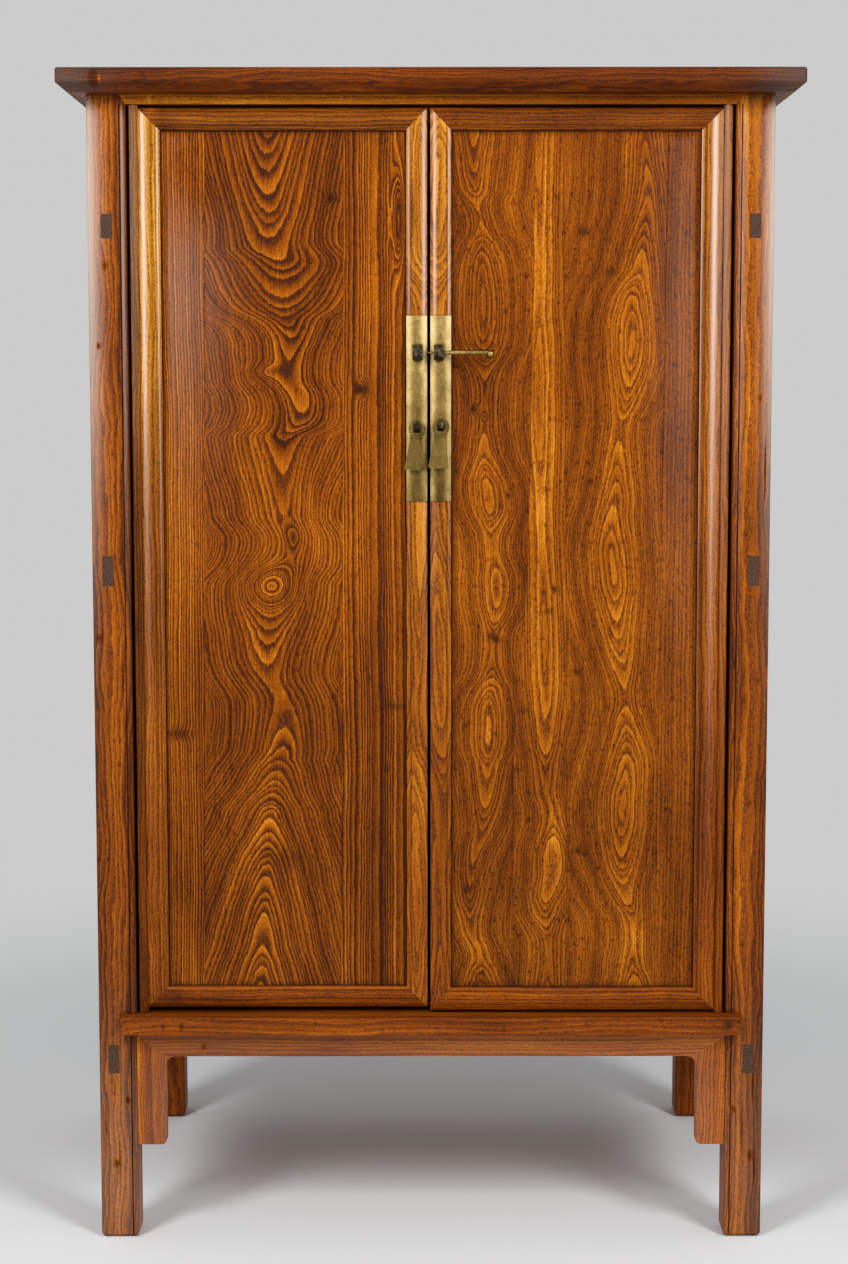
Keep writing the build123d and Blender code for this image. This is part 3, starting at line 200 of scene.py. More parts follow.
def elm_piece(name, members, along, boards, seed, sway=5.0, contrast=0.5, shift=0.0, marks=(), rim=None,
              gold=0.0, specks=0.2, gloss=0.11):
    """Finish nodes as stained elm, its grain along one axis, from boards side by side across it.

    Each board but the last has "seam", the line where it ends. marks are knots, holes, stains and painted
    highlight and shade: (place, radii, (rings, darkness, lightness)). rim is the outline of a panel, dark
    along its edge.
    gold turns the stain from red brown to honey; it may be a line along the grain, as may shift. sway is
    how far the grain wanders to each side, in mm, and gloss the reflection of the lacquer."""
    material, tree, coordinates, spot = new_material(name)
    axes = add(tree, "SeparateXYZ", spot).node.outputs
    order = {"X": (1, 2, 0), "Y": (0, 2, 1), "Z": (0, 1, 2)}[along]     # across, deep, along
    gold, shift = [drawn_line(tree, axes[order[2]], value) if isinstance(value, list) else value
                   for value in (gold, shift)]
    local = add(tree, "CombineXYZ", *(axes[i] for i in order))
    place = add(tree, "VectorMath", local, [seed * step for step in SEED_STEP], operation="ADD")
    # The grain wanders in waves 50 mm across and 170 mm long. Noise keeps within a quarter of its mean.
    wander = add(tree, "TexNoise", add(tree, "VectorMath", place, (0.02, 0.02, 0.006), operation="MULTIPLY"),
                 sockets={"Scale": 1.0, "Detail": 3.0, "Roughness": 0.6}, give=1)
    bent = add(tree, "VectorMath", add(tree, "VectorMath", wander, (MEAN, MEAN, MEAN), operation="SUBTRACT"),
               (sway * 4, sway * 4, 0.0), local, operation="MULTIPLY_ADD")
    across, deep, way = add(tree, "SeparateXYZ", bent).node.outputs

    pattern, seams = None, 0.0
    for board in reversed(boards):
        own = growth(tree, across, deep, way, **board)
        if pattern is None:
            pattern = own
            continue
        seam = drawn_line(tree, axes[order[2]], board["seam"])
        past = add(tree, "Math", axes[order[0]], seam, operation="GREATER_THAN")
        pattern = add(tree, "Mix", past, data_type="VECTOR", sockets={4: own, 5: pattern}, give=1)
        near = add(tree, "Math", add(tree, "Math", axes[order[0]], seam, operation="SUBTRACT"),
                   operation="ABSOLUTE")
        # A glued seam shows as a fine line of dirt, 1.4 mm wide.
        seams = add(tree, "Math", add(tree, "MapRange", near, 0.2, 0.7, 0.3, 0.0), seams, operation="ADD")

    rings, strength, lightness = add(tree, "SeparateXYZ", pattern).node.outputs
    strength = add(tree, "Math", strength, contrast, operation="MULTIPLY")
    lightness = add(tree, "Math", lightness, shift, operation="ADD")
    total = add(tree, "CombineXYZ", rings, seams, lightness)
    for middle, radii, effect in marks:
        # A mark fades like a bell curve from its middle.
        near = add(tree, "VectorMath", spot, [1 / r for r in radii], [-c / r for c, r in zip(middle, radii)],
                   operation="MULTIPLY_ADD")
        far = add(tree, "VectorMath", near, near, operation="DOT_PRODUCT", give=1)
        fade = add(tree, "Math", 1 / math.e, far, operation="POWER")
        total = add(tree, "VectorMath", fade, effect, total, operation="MULTIPLY_ADD")
    rings, grime_and_painted_light, lightness = add(tree, "SeparateXYZ", total).node.outputs
    if rim:
        # Painted shade of the frame's recess, with some dirt, darkens the panel along the frame, 5 mm wide.
        low, high = rim
        inside = [add(tree, "Math", axes[i], low[i], operation="SUBTRACT") for i in (0, 2)]
        inside += [add(tree, "Math", high[i], axes[i], operation="SUBTRACT") for i in (0, 2)]
        nearest = inside[0]
        for side in inside[1:]:
            nearest = add(tree, "Math", nearest, side, operation="MINIMUM")
        grime_and_painted_light = add(tree, "Math", add(tree, "MapRange", nearest, 0.0, 5.0, 0.5, 0.0), grime_and_painted_light, operation="ADD")
    else:
        # Darker along the joints, within 3 mm of a neighbour: painted shade, with old polish and dirt.
        open_side = add(tree, "AmbientOcclusion", sockets={"Distance": 0.003}, give=1, samples=6)
        joint_dirt_and_shade = add(tree, "MapRange", open_side, 0.25, 0.85, 0.65, 0.0)
        grime_and_painted_light = add(tree, "Math", joint_dirt_and_shade, grime_and_painted_light, operation="ADD")

    # A face that looks along the grain shows end grain.
    facing = add(tree, "VectorMath", coordinates["Normal"], [a == along for a in "XYZ"],
                 operation="DOT_PRODUCT", give=1)
    end = add(tree, "MapRange", add(tree, "Math", facing, operation="ABSOLUTE"), 0.75, 0.95)
    wood = add(tree, "Group", place, rings, strength, lightness, grime_and_painted_light, end, gold, specks, node_tree=elm)
    colour, roughness, height = wood.node.outputs
    # Relief of 0.1 mm, and a lacquer a little warmer than clear.
    bump = add(tree, "Bump", sockets={"Height": height, "Strength": 0.4, "Distance": 0.0001})
    shader = add(tree, "BsdfPrincipled", colour, sockets={
        "Roughness": roughness, "Normal": bump, "Specular IOR Level": gloss,
        "Specular Tint": linear("#fff0dc")})
    add(tree, "OutputMaterial", shader)
    coat(members, material)


# The posts are quarter-sawn, so their rings run straight up the front. All places and sizes are in mm.
# Each hole, nick or spot: its height, its place across the front, its size and how dark it is.
POST_FACE_Y = -182
left_nicks = [(806, -262, 1.6, 0.8), (742, -268, 1.2, 0.9), (655, -258, 1.3, 0.7), (505, -270, 1.6, 0.8),
              (400, -256, 1.2, 0.7), (322, -266, 1.3, 0.8), (118, -252, 1.2, 0.9), (64, -262, 1.6, 0.8)]
right_nicks = [(832, 262, 1.6, 0.8), (700, 266, 1.2, 0.8), (590, 256, 1.6, 0.7), (470, 268, 1.3, 0.8),
               (368, 262, 1.6, 0.8), (250, 258, 1.2, 0.7), (110, 252, 1.3, 0.9), (70, 266, 1.6, 0.8)]


def nicks(spots, y):
    """Dark spots on a face that looks forward, a little longer than wide."""
    return [((x, y, z), (size, size, size * 1.6), (0.0, dark, 0.0)) for z, x, size, dark in spots]


def sheen_and_shade_bands(lines, middle, reach, deep=14):
    """Upright bands of painted highlight (haze) and painted shade on a front face: place and half width
    across, haze, lightness.
    """
    return [((x, POST_FACE_Y, middle), (wide, deep, reach), (0.0, -haze_and_sheen, light))
            for x, wide, haze_and_sheen, light in lines]


def shakes(lines, y):
    """Hair cracks along the grain of an upright, full of dirt: middle, place across, half length."""
    return [((x, y, z), (0.55, 3, half), (0.0, 0.75, 0.0)) for z, x, half in lines]


left_shakes = shakes([(128, -263, 9), (96, -271, 11), (66, -260, 12), (470, -252, 16)], POST_FACE_Y)
right_shakes = shakes([(132, 268, 9), (92, 259, 12), (62, 270, 10), (640, 271, 15)], POST_FACE_Y)

# The round outer corners and the beads carry painted highlight in their upper half, the feet are dusty,
# and the heads carry painted shade under the top's overhang.
POST_X = 262            # middle of a front post
dusty_feet = [((side * POST_X, POST_FACE_Y, 50), (40, 60, 110), (0.0, -dust, -0.01))
              for side, dust in ((-1, 0.08), (1, 0.05))]
# Painted shade at the post heads, under the top's overhang.
shade_under_top = [((side * POST_X, POST_FACE_Y, 940), (40, 60, 9), (0.0, 0.35, 0.0)) for side in (-1, 1)]
# Up the posts the stain lightens towards the top, and the bands on the round outer corners and the beads are
# painted highlight of the lamps.
elm_piece("left front post elm", ["left_front_post"], "Z", [dict(heart=(-150, -60), pitch=3.2)], 1,
          contrast=0.65, gold=[(0, 0.12), (500, 0.05), (941, 0.02)],
          shift=[(0, 0.0), (500, -0.06), (800, 0.01), (941, 0.04)],
          marks=nicks(left_nicks, POST_FACE_Y) + left_shakes
          + sheen_and_shade_bands([(-276, 9, 0.58, 0.0), (-247.5, 1.6, 0.27, 0.0)], 850, 210)
          + dusty_feet[:1] + shade_under_top[:1])
elm_piece("right front post elm", ["right_front_post"], "Z", [dict(heart=(160, -70), pitch=3.3)], 2,
          contrast=0.6, gold=[(0, 0.12), (500, 0.05), (941, 0.10)],
          shift=[(0, -0.02), (500, 0.01), (800, 0.07), (941, 0.10)],
          marks=nicks(right_nicks, POST_FACE_Y) + right_shakes
          + sheen_and_shade_bands([(277, 8, 0.63, 0.0), (250, 2.5, 0.22, 0.0)], 850, 210)
          + dusty_feet[1:] + shade_under_top[1:])
elm_piece("left back post elm", ["left_back_post"], "Z", [dict(heart=(-200, 60), pitch=3.6)], 3)
elm_piece("right back post elm", ["right_back_post"], "Z", [dict(heart=(190, 70), pitch=3.4)], 4)


# ---- rails between the posts
# Elm as the posts; their through tenons show as grey-brown end grain on the faces of the posts,
# flush and wedged. The head rails and the back's rails have hidden tenons.

# The head rail's stain is lightened: painted light that lifts the shade under the top's overhang.
elm_piece("head rail elm", ["front_head_rail"], "X", [dict(heart=(-110, 1010), pitch=2.6)], 5, shift=0.25,
          sway=2.0, marks=[((-225, -181, 940), (1.5, 20, 5), (0.0, 0.0, 0.3))])
elm_piece("left rail elm", ["left_head_rail", "left_upper_rail", "left_middle_rail", "left_lower_rail"],
          "Y", [dict(heart=(-190, 800), pitch=3.2)], 6)
elm_piece("right rail elm", ["right_head_rail", "right_upper_rail", "right_middle_rail", "right_lower_rail"],
          "Y", [dict(heart=(200, 500), pitch=3.0)], 7)
elm_piece("back rail elm", ["back_head_rail", "back_bottom_rail"], "X",
          [dict(heart=(120, 560), pitch=3.3)], 8)
elm_piece("muntin elm", ["back_muntin"], "Z", [dict(heart=(60, 140), pitch=3.2)], 9)


# ---- floating panels of the sides and the back
# Wide thin boards of elm, loose in the grooves of the frame and stained with it, a little duller than
# on the front. The sides' are quarter-sawn and plain; the back's are flat-sawn, so flames run up them.

STEPS_PER_TURN = 6


def flames(low, high, middle, turns):
    """Centre line and run of a flat-sawn board: loops and flames, some turns from low to high.

    The middle strays by 6 mm, and each turn passes through 10 rings, with small hitches of a ring."""
    steps = STEPS_PER_TURN * turns
    points = [(low + (high - low) * i / steps, i) for i in range(steps + 1)]
    centre = [(z, middle + 6.0 * math.sin(1.3 * i) + 0.01 * i) for z, i in points]
    run = [(z, 5.0 * math.cos(i * 2 * math.pi / STEPS_PER_TURN) + 0.8 * math.sin(2.1 * i)) for z, i in points]
    return dict(centre=centre, run=run)


elm_piece("left side panel elm", ["left_side_panels"], "Z",
          [dict(heart=(-266, 30), pitch=3.8)], 10, shift=-0.04)
elm_piece("right side panel elm", ["right_side_panels"], "Z", [dict(heart=(268, -20), pitch=3.8)], 11,
          shift=-0.04)
elm_piece("back panel elm", ["back_panels"], "Z", [
    dict(heart=(-160, 164), pitch=3.8, seam=[(150, -128), (960, -124)], **flames(170, 930, -190, 3)),
    dict(heart=(-60, 164), pitch=3.8, seam=[(150, 0), (960, 0.5)], **flames(170, 930, -66, 2)),
    dict(heart=(60, 164), pitch=3.8, seam=[(150, 112), (960, 108)], **flames(170, 930, 62, 3)),
    dict(heart=(180, 164), pitch=3.8, **flames(170, 930, 178, 2))], 12, shift=-0.10)


# ---- shelf and bottom
# Planed elm boards laid loose, side by side, on bearers that are fixed along the side rails. They have
# the same stain as the outside, laid on a little thicker.

elm_piece("shelf elm", ["shelf_boards"], "X", [
    dict(heart=(-90, 560), pitch=3.6, seam=[(-270, -45.6), (270, -45.4)]),
    dict(heart=(0, 540), pitch=3.8, seam=[(-270, 51), (270, 51.2)]),
    dict(heart=(90, 552), pitch=3.6)], 13, shift=-0.03)
elm_piece("bottom elm", ["bottom_boards"], "X", [dict(heart=(20, 150), pitch=3.6)], 14, shift=-0.05)
elm_piece("bearer elm", ["shelf_bearers", "bottom_bearers", "bottom_batten"], "Y",
          [dict(heart=(-120, 420), pitch=3.4)], 15, shift=-0.08)


# ---- front sill, aprons and spandrels
# The sill is one thick rounded bar of elm lapped over the posts; under it an apron is mitred to
# two small spandrels with toes. The sides have the same set under their lower rail.

sill_nicks = [(184, -206, 2.2, 0.9), (184, -221, 1.6, 0.8), (185, 245, 3.2, 0.8), (181, 60, 1.4, 0.6),
              (187, -95, 1.3, 0.7), (181, -40, 1.0, 0.7), (186, 128, 1.5, 0.6), (189, 190, 1.2, 0.8)]
elm_piece("sill elm", ["sill"], "X", [dict(heart=(-150, 205), pitch=2.5)], 16, shift=0.01, sway=2.0,
          marks=nicks(sill_nicks, -195))
elm_piece("apron elm", ["front_apron"], "X", [dict(heart=(-150, 120), pitch=2.6)], 17, shift=0.11,
          sway=2.0,
          marks=nicks([(163, -189, 1.2, 0.9)], -180) + [((0, -180, 165), (900, 60, 60), (0.0, -0.04, 0.0))])
elm_piece("spandrel elm", ["front_spandrels"], "Z", [dict(heart=(-120, -130), pitch=3.0)], 18, shift=0.13,
          marks=[((side * 215, -178, 100), (30, 40, 80), (0.0, -0.06, shade)) for side, shade in (
              (-1, 0.0), (1, -0.07))])
elm_piece("side apron elm", ["left_side_apron", "right_side_apron"], "Y",
          [dict(heart=(-200, 60), pitch=3.0)], 19)
elm_piece("side spandrel elm", ["left_side_spandrels", "right_side_spandrels"], "Z",
          [dict(heart=(-200, 20), pitch=3.0)], 20, shift=0.03)


# ---- the top
# Four mitred elm members with a moulded edge round a floating panel, keyed by two battens. The
# ends have gone purple brown and dull from handling, the middle is still orange.

# At the front's left end the ends of a tenon and of two orange wedges show.
end_wear = [((side * 296, -200, 950), (34, 60, 30), (0.0, -0.07, -0.22)) for side in (-1, 1)]
end_wear += [((-286, -215, 957.5), (2.0, 20, 2.0), (0.0, 0.07, 0.6)),
             ((-261.5, -212, 951.5), (1.2, 20, 4), (0.0, 0.05, 0.5)),
             ((-266, -212, 951.5), (2.6, 20, 3.6), (0.0, 0.45, 0.0))]
elm_piece("top edge elm", ["top_front_member", "top_back_member"], "X",
          [dict(heart=(-170, 990), pitch=2.4)], 21, shift=-0.20, marks=end_wear, gloss=0.1)
elm_piece("top end elm", ["top_left_member", "top_right_member"], "Y",
          [dict(heart=(-200, 1000), pitch=3.0)], 22, shift=-0.08, gloss=0.1)
elm_piece("top panel elm", ["top_panel"], "X", [
    dict(heart=(-60, 940), pitch=3.6, seam=[(-240, 4), (240, 2)], **flames(-230, 230, -60, 2)),
    dict(heart=(70, 940), pitch=3.6, **flames(-230, 230, 70, 1))], 23, gloss=0.08)
elm_piece("top batten elm", ["top_battens"], "Y", [dict(heart=(60, 900), pitch=3.2)], 24, shift=-0.1)


# ---- frames of the doors
# Elm bars with a rounded face and a fine bead beside the panel, mitred at the corners. The pivot
# stile carries the strip with the turned pivots. The rounds are painted brighter than the rest, most
# towards the top: painted highlight of the lamps.

# The meeting stiles are flat-sawn and show slim loops; a patch at the left door's corner is orange.
left_meeting = dict(heart=(-11, -178), pitch=3.3,
                    centre=[(196, -9), (400, -12), (560, -9), (700, -12), (820, -7), (931, -12)],
                    run=[(196, 6), (330, 2), (470, 7), (600, 5), (760, 9), (830, 2), (931, 6)])
right_meeting = dict(heart=(8, -178), pitch=3.3,
                     centre=[(193, 8), (380, 10), (520, 6), (700, 9), (830, 5), (931, 8)],
                     run=[(193, 4), (330, 8), (480, 3), (610, 7), (760, 8), (850, 1), (931, 6)])
orange_patch = [((-225, -184, 929), (5, 20, 3.5), (0.0, 0.0, 0.25))]
# Up the stiles the stain lightens and turns honey towards the top: painted highlight of the lamps. The bands
# paint highlights on the rounds and beads, and a painted reflection along the right pivot stile's outer edge;
# on the left pivot stile a thin dark band is painted shade in the bead's groove, and a wider one darkens the
# pivot strip.
elm_piece("left pivot stile elm", ["left_door_pivot_stile"], "Z", [dict(heart=(-165, -150), pitch=3.0)], 25,
          shift=[(196, -0.04), (560, 0.06), (760, 0.21), (931, 0.28)],
          gold=[(196, 0.1), (560, 0.2), (760, 0.55), (931, 0.7)],
          marks=sheen_and_shade_bands([(-231, 1.9, 0.78, 0.1), (-219.8, 1.0, 0.53, 0.0), (-239, 3.6, 0.14, -0.36)], 860, 230)
          + sheen_and_shade_bands([(-238, 3.0, -0.05, -0.2), (-224.5, 0.9, -0.25, -0.1)], 560, 900) + orange_patch)
elm_piece("right pivot stile elm", ["right_door_pivot_stile"], "Z", [dict(heart=(170, -150), pitch=3.2)], 26,
          shift=[(193, 0.01), (560, 0.06), (931, 0.18)], gold=[(193, 0.0), (560, 0.1), (931, 0.3)],
          marks=sheen_and_shade_bands([(228.0, 2.2, 0.70, 0.05), (217.3, 1.2, 0.55, 0.0), (235.5, 4.5, 0.20, -0.16)],
                      860, 260))
elm_piece("left meeting stile elm", ["left_door_meeting_stile"], "Z", [left_meeting], 27,
          shift=[(196, 0.09), (600, 0.11), (931, 0.18)], gold=[(196, 0.1), (600, 0.2), (931, 0.3)],
          marks=sheen_and_shade_bands([(-5.5, 1.4, 0.6, 0.0), (-17.5, 1.2, 0.4, 0.0)], 860, 200)
          + [((-14.3, POST_FACE_Y, 845), (2.0, 30, 26), (0.0, 0.45, -0.1))])
elm_piece("right meeting stile elm", ["right_door_meeting_stile"], "Z", [right_meeting], 28,
          shift=[(193, 0.04), (600, 0.12), (931, 0.22)], gold=[(193, 0.05), (600, 0.2), (931, 0.3)],
          marks=sheen_and_shade_bands([(3.0, 1.2, 0.6, 0.0), (14.5, 1.2, 0.45, 0.0)], 860, 200))
elm_piece("left top rail elm", ["left_door_top_rail"], "X", [dict(heart=(-160, 960), pitch=2.8)], 29,
          shift=-0.08, gold=0.2, sway=2.0,
          marks=orange_patch + [((-213, -184, 921), (8, 20, 8), (0.0, 0.4, 0.0))])
elm_piece("right top rail elm", ["right_door_top_rail"], "X", [dict(heart=(-160, 850), pitch=2.8)], 30,
          shift=-0.12, gold=0.1, sway=2.0)
elm_piece("left bottom rail elm", ["left_door_bottom_rail"], "X", [dict(heart=(-150, 240), pitch=2.6)], 31,
          shift=-0.07, sway=2.0, marks=[((-212, -184, 204), (9, 20, 8), (0.0, 0.35, 0.0))])
elm_piece("right bottom rail elm", ["right_door_bottom_rail"], "X", [dict(heart=(-150, 150), pitch=2.6)], 32,
          shift=0.0, sway=2.0, marks=[((200, -184, 204), (6, 20, 5), (0.0, 0.35, 0.0))])
elm_piece("door batten elm", ["left_door_battens", "right_door_battens"], "X",
          [dict(heart=(-130, 560), pitch=3.2)], 33, shift=-0.06)


# ---- panels of the doors
# Each is glued up from flat-sawn elm boards, chosen for their figure, floating in the frame. The
# rings rise as flames, close into loops and swirl round a burl, so dark lines cover both doors.

PANEL_FACE_Y = -176.0
THROUGH = 60.0          # a mark's reach into the board, mm


def panel_mark(x, z, wide, high, rings=0.0, dark=0.0, light=0.0):
    """A knot, burl, stain, or a haze of painted highlight on a door panel."""
    return (x, PANEL_FACE_Y, z), (wide, THROUGH, high), (rings, dark, light)


# The left door has a wide board between two plain ones. Along the middle of its flame, by height: its
# rings counted from the top, its place, and how round its arches are.
left_run = [(922, -1.2), (902, -0.2), (881, 1), (866, 2), (851, 3), (839, 4), (826, 5), (816, 6), (806, 7),
            (797, 8), (787, 9), (777, 10), (768, 11), (758, 12), (748, 13), (735, 14), (721, 14.6),
            (705, 14.9), (691, 15.5), (682, 16.2), (675, 17), (667, 18), (654, 19), (634, 20), (608, 21),
            (581, 21.6), (536, 22), (503, 24), (485, 25), (461, 26), (443, 25.6), (420, 24.6), (404, 23.5),
            (398, 22.5), (391, 21.5), (383, 20.5), (377, 19.5), (372, 18.5), (367, 17.5), (362, 16.5),
            (353, 15.5), (345, 14.5), (338, 13.5), (331, 12.5), (324, 11.5), (316, 10.5), (306, 9.5),
            (296, 8.5), (282, 7), (261, 5.5), (244, 4.5), (234, 3.5), (214, 2)]
left_centre = [(922, -130), (881, -131), (851, -130), (826, -130), (804, -119), (787, -119), (768, -118),
               (748, -113), (735, -115), (715, -114), (691, -105), (675, -112), (667, -121), (654, -123),
               (608, -126), (581, -115), (547, -130), (510, -132), (486, -134), (443, -120), (416, -121),
               (404, -125), (383, -129), (362, -133), (338, -135), (316, -137), (282, -139), (214, -141)]
left_depth = [(922, 20), (851, 20), (826, 26), (787, 48), (768, 30), (748, 10), (731, 10), (691, 14),
              (667, 22), (608, 10), (536, 20), (453, 20), (404, 14), (362, 10), (316, 8), (282, 6), (214, 8)]
left_marks = [
    panel_mark(-136, 721, 13, 7, -3.0), panel_mark(-108, 606, 14, 40, -3.0, 0.0, 0.16),
    panel_mark(-112, 586, 6, 11, -1.0, 0.5), panel_mark(-130, 547, 21, 16, -8.0),
    panel_mark(-80, 860, 6, 4, -1.0, 0.7), panel_mark(-55, 707, 6, 6, -2.0, 0.8),
    panel_mark(-91, 711, 3, 3, 0.0, 0.5), panel_mark(-80, 693, 3, 3, 0.0, 0.5),
    panel_mark(-207, 425, 10, 5, -1.5, 0.7), panel_mark(-119, 320, 12, 9, 0.0, 0.25, -0.1),
    panel_mark(-30, 448, 8, 4, 0.0, 0.6), panel_mark(-79, 456, 4, 3, 0.0, 0.5),
    panel_mark(-25, 844, 5, 40, -5.0), panel_mark(-48, 300, 40, 70, 0.0, 0.12, -0.08),
    panel_mark(-200, 880, 30, 60, 0.0, 0.12, -0.08), panel_mark(-48, 780, 6, 120, 0.0, 0.0, 0.14),
    # the last mark, a haze at the upper left, is painted highlight: glare of the lamps
    panel_mark(-130, 840, 30, 70, 0.0, 0.0, -0.14), panel_mark(-206, 850, 34, 150, 0.0, -0.13)]
elm_piece("left door panel elm", ["left_door_panel"], "Z", [
    dict(heart=(-60, -150), pitch=2.4, shift=0.07, seam=[(930, -181), (784, -183), (200, -188)]),
    dict(pitch=3.2, seam=[(930, -70), (453, -73), (200, -75)], centre=left_centre, run=left_run,
         depth=left_depth, fine=0.7),
    dict(heart=(-170, -150), pitch=3.2)],
    34, sway=2.0, contrast=1.1, gloss=0.06, gold=[(214, 0.14), (560, 0.07), (922, 0.05)],
    shift=[(214, -0.15), (450, -0.09), (650, -0.03), (922, -0.07)],
    marks=left_marks, rim=((-217, 0, 213.5), (-20.3, 0, 913.1)))

# The right door has four boards, from the left: two with slim loops, one with tall loops, a plain one.
right_a = dict(
    pitch=2.4, depth=[(930, 7), (560, 5), (200, 8)], fine=0.5, glow=0.02, shift=-0.05,
    seam=[(928, 84), (568, 79), (401, 68), (201, 69)],
    centre=[(928, 34), (886, 35), (858, 37), (823, 43), (757, 43), (719, 44), (664, 44), (620, 48),
            (602, 50), (574, 51), (549, 54), (503, 50), (470, 49), (445, 46), (369, 46), (346, 44),
            (290, 33), (273, 33), (246, 40), (227, 43), (206, 43)],
    run=[(928, 1), (866, 4), (846, 6.5), (823, 3), (774, 0), (734, 3), (699, 7), (664, 6), (639, 3),
         (620, 1.5), (599, 3.5), (574, 5.5), (549, 4), (520, 6), (495, 8), (460, 4), (425, 2), (400, 4),
         (369, 6), (346, 8), (290, 11), (261, 13.5), (241, 14), (227, 12.5), (206, 10)])
right_b = dict(
    pitch=2.5, depth=[(930, 4), (560, 6), (200, 5)], fine=0.5, glow=0.05, shift=0.02,
    seam=[(928, 106), (593, 110), (356, 112), (201, 113)],
    centre=[(928, 87), (779, 88), (658, 89), (503, 93), (379, 95), (363, 100), (318, 102), (275, 95),
            (246, 98), (206, 97)],
    run=[(928, 3), (798, 4.2), (699, 3.4), (599, 4.4), (500, 3.8), (430, 5), (390, 7.5), (360, 8),
         (318, 5), (281, 7), (260, 10), (246, 11), (206, 9)])
right_c = dict(
    pitch=2.2, depth=[(930, 6), (200, 8)], fine=0.45, glow=0.06,
    seam=[(928, 191), (560, 188), (201, 186)],
    centre=[(928, 172), (898, 172), (861, 174), (829, 171), (804, 169), (772, 162), (742, 162),
            (708, 160), (674, 154), (647, 152), (620, 151), (592, 148), (559, 150), (526, 152),
            (505, 154), (469, 158), (440, 160), (411, 161), (363, 157), (322, 157), (284, 162),
            (255, 168), (234, 167), (218, 169), (206, 169)],
    run=[(928, 12), (861, 9.5), (842, 8.2), (829, 7.2), (818, 6.4), (804, 5.4), (788, 3), (772, 1.2),
         (742, 0), (724, 0.8), (708, 2.2), (689, 4), (674, 5), (661, 4.6), (647, 4), (632, 3.2),
         (620, 2.5), (606, 1.8), (592, 1), (559, 0), (535, 0.9), (526, 1.6), (505, 3), (487, 4.4),
         (469, 6), (455, 6.6), (440, 5.6), (425, 4), (411, 2.4), (390, 0.8), (363, 0), (341, 0.9),
         (322, 2.2), (297, 5), (284, 6.2), (255, 8), (234, 7.4), (218, 6), (206, 5)])
right_d = dict(heart=(122, -140), pitch=3.0, shift=-0.06, fine=0.6)
right_marks = [panel_mark(x, z, wide, high, rings, dark) for x, z, wide, high, rings, dark in [
    (35, 691, 4, 4, -2, 0.8), (44, 685, 4, 3, -1, 0.7), (123, 833, 5, 4, -2, 0.8), (144, 801, 4, 3, -1, 0.6),
    (64, 621, 3, 3, -1, 0.6), (102, 544, 3, 4, -1, 0.7), (97, 526, 3, 3, 0, 0.6), (76, 444, 3, 3, 0, 0.6),
    (122, 328, 4, 3, -1, 0.6), (29, 295, 3, 3, 0, 0.6), (50, 506, 5, 4, 0, 0.8), (54, 502, 4, 3, 0, 0.6)]]
right_marks += [panel_mark(x, z, wide, high, light=light) for x, z, wide, high, light in [
    (40, 246, 9, 10, 0.15), (101, 340, 5, 30, 0.18), (88, 700, 5, 190, 0.08), (168, 255, 8, 14, 0.15),
    (188, 780, 9, 150, -0.08)]]
# A haze on the upper right board: painted highlight, glare of the lamps.
right_marks.append(panel_mark(206, 760, 22, 200, dark=-0.05))
elm_piece("right door panel elm", ["right_door_panel"], "Z", [right_a, right_b, right_c, right_d], 35,
          sway=2.5, contrast=0.66, gloss=0.06, shift=[(200, -0.05), (560, 0.02), (930, 0.03)],
          gold=[(200, 0.18), (560, 0.11), (930, 0.07)], marks=right_marks,
          rim=((16.9, 0, 213.1), (217, 0, 913.1)), specks=0.4)


# ---- brass on the doors
# Sheet brass plates bent over the round of each meeting stile, domed bosses, cut fishtail pulls and
# a turned pin. The brass is old and olive brown, with slanting scratches and small dents that break
# up the gleam. The plates are painted pale gold near their edges and darker along their middle:
# painted reflection, bright where the soft boxes would show.

brass, (place, tarnish_and_painted_light) = new_group("aged brass", (("Place", "Vector"), ("Tarnish and painted light", "Float")))
# Blooms of tarnish 9 mm across, grit of 0.8 mm, and scratches 0.4 mm wide and 12 mm long.
slanted = add(brass, "VectorRotate", place, sockets={"Angle": math.radians(38)}, rotation_type="Y_AXIS")
blooms, grit, scratches = [
    add(brass, "TexNoise", add(brass, "VectorMath", where, scale, operation="MULTIPLY"),
        sockets={"Scale": 1.0, "Detail": 3.0, "Roughness": 0.6})
    for where, scale in ((place, (0.11, 0.11, 0.06)), (place, (1.2, 1.2, 1.2)), (slanted, (2.4, 1.0, 0.08)))]
dull = tarnish_and_painted_light
for pattern, weight in ((blooms, 0.8), (grit, 0.7)):
    centred = add(brass, "Math", pattern, MEAN, operation="SUBTRACT")
    dull = add(brass, "Math", centred, weight, dull, operation="MULTIPLY_ADD")
# Scratches are bright.
dull = add(brass, "Math", add(brass, "MapRange", scratches, 0.60, 0.68, 0.0, -0.2), dull, operation="ADD")
PATINA = 0.82           # how far the tarnish has gone towards brown
patina = add(brass, "ValToRGB", add(brass, "Math", dull, PATINA, operation="MULTIPLY"), stops=[
    (0.0, "#fbe4ac"), (0.25, "#d2b475"), (0.5, "#967a42"), (0.8, "#5e4a20"), (1.0, "#2c210f")])
satin = add(brass, "MapRange", dull, 0.0, 1.0, 0.57, 0.48)
add(brass, "NodeGroupOutput", patina, satin, add(brass, "Math", scratches, grit, operation="ADD"))


DOOR_GAP_X = -1.7       # middle of the gap between the doors, mm
PLATE_FROM_GAP = 9.7    # middle of each plate from there


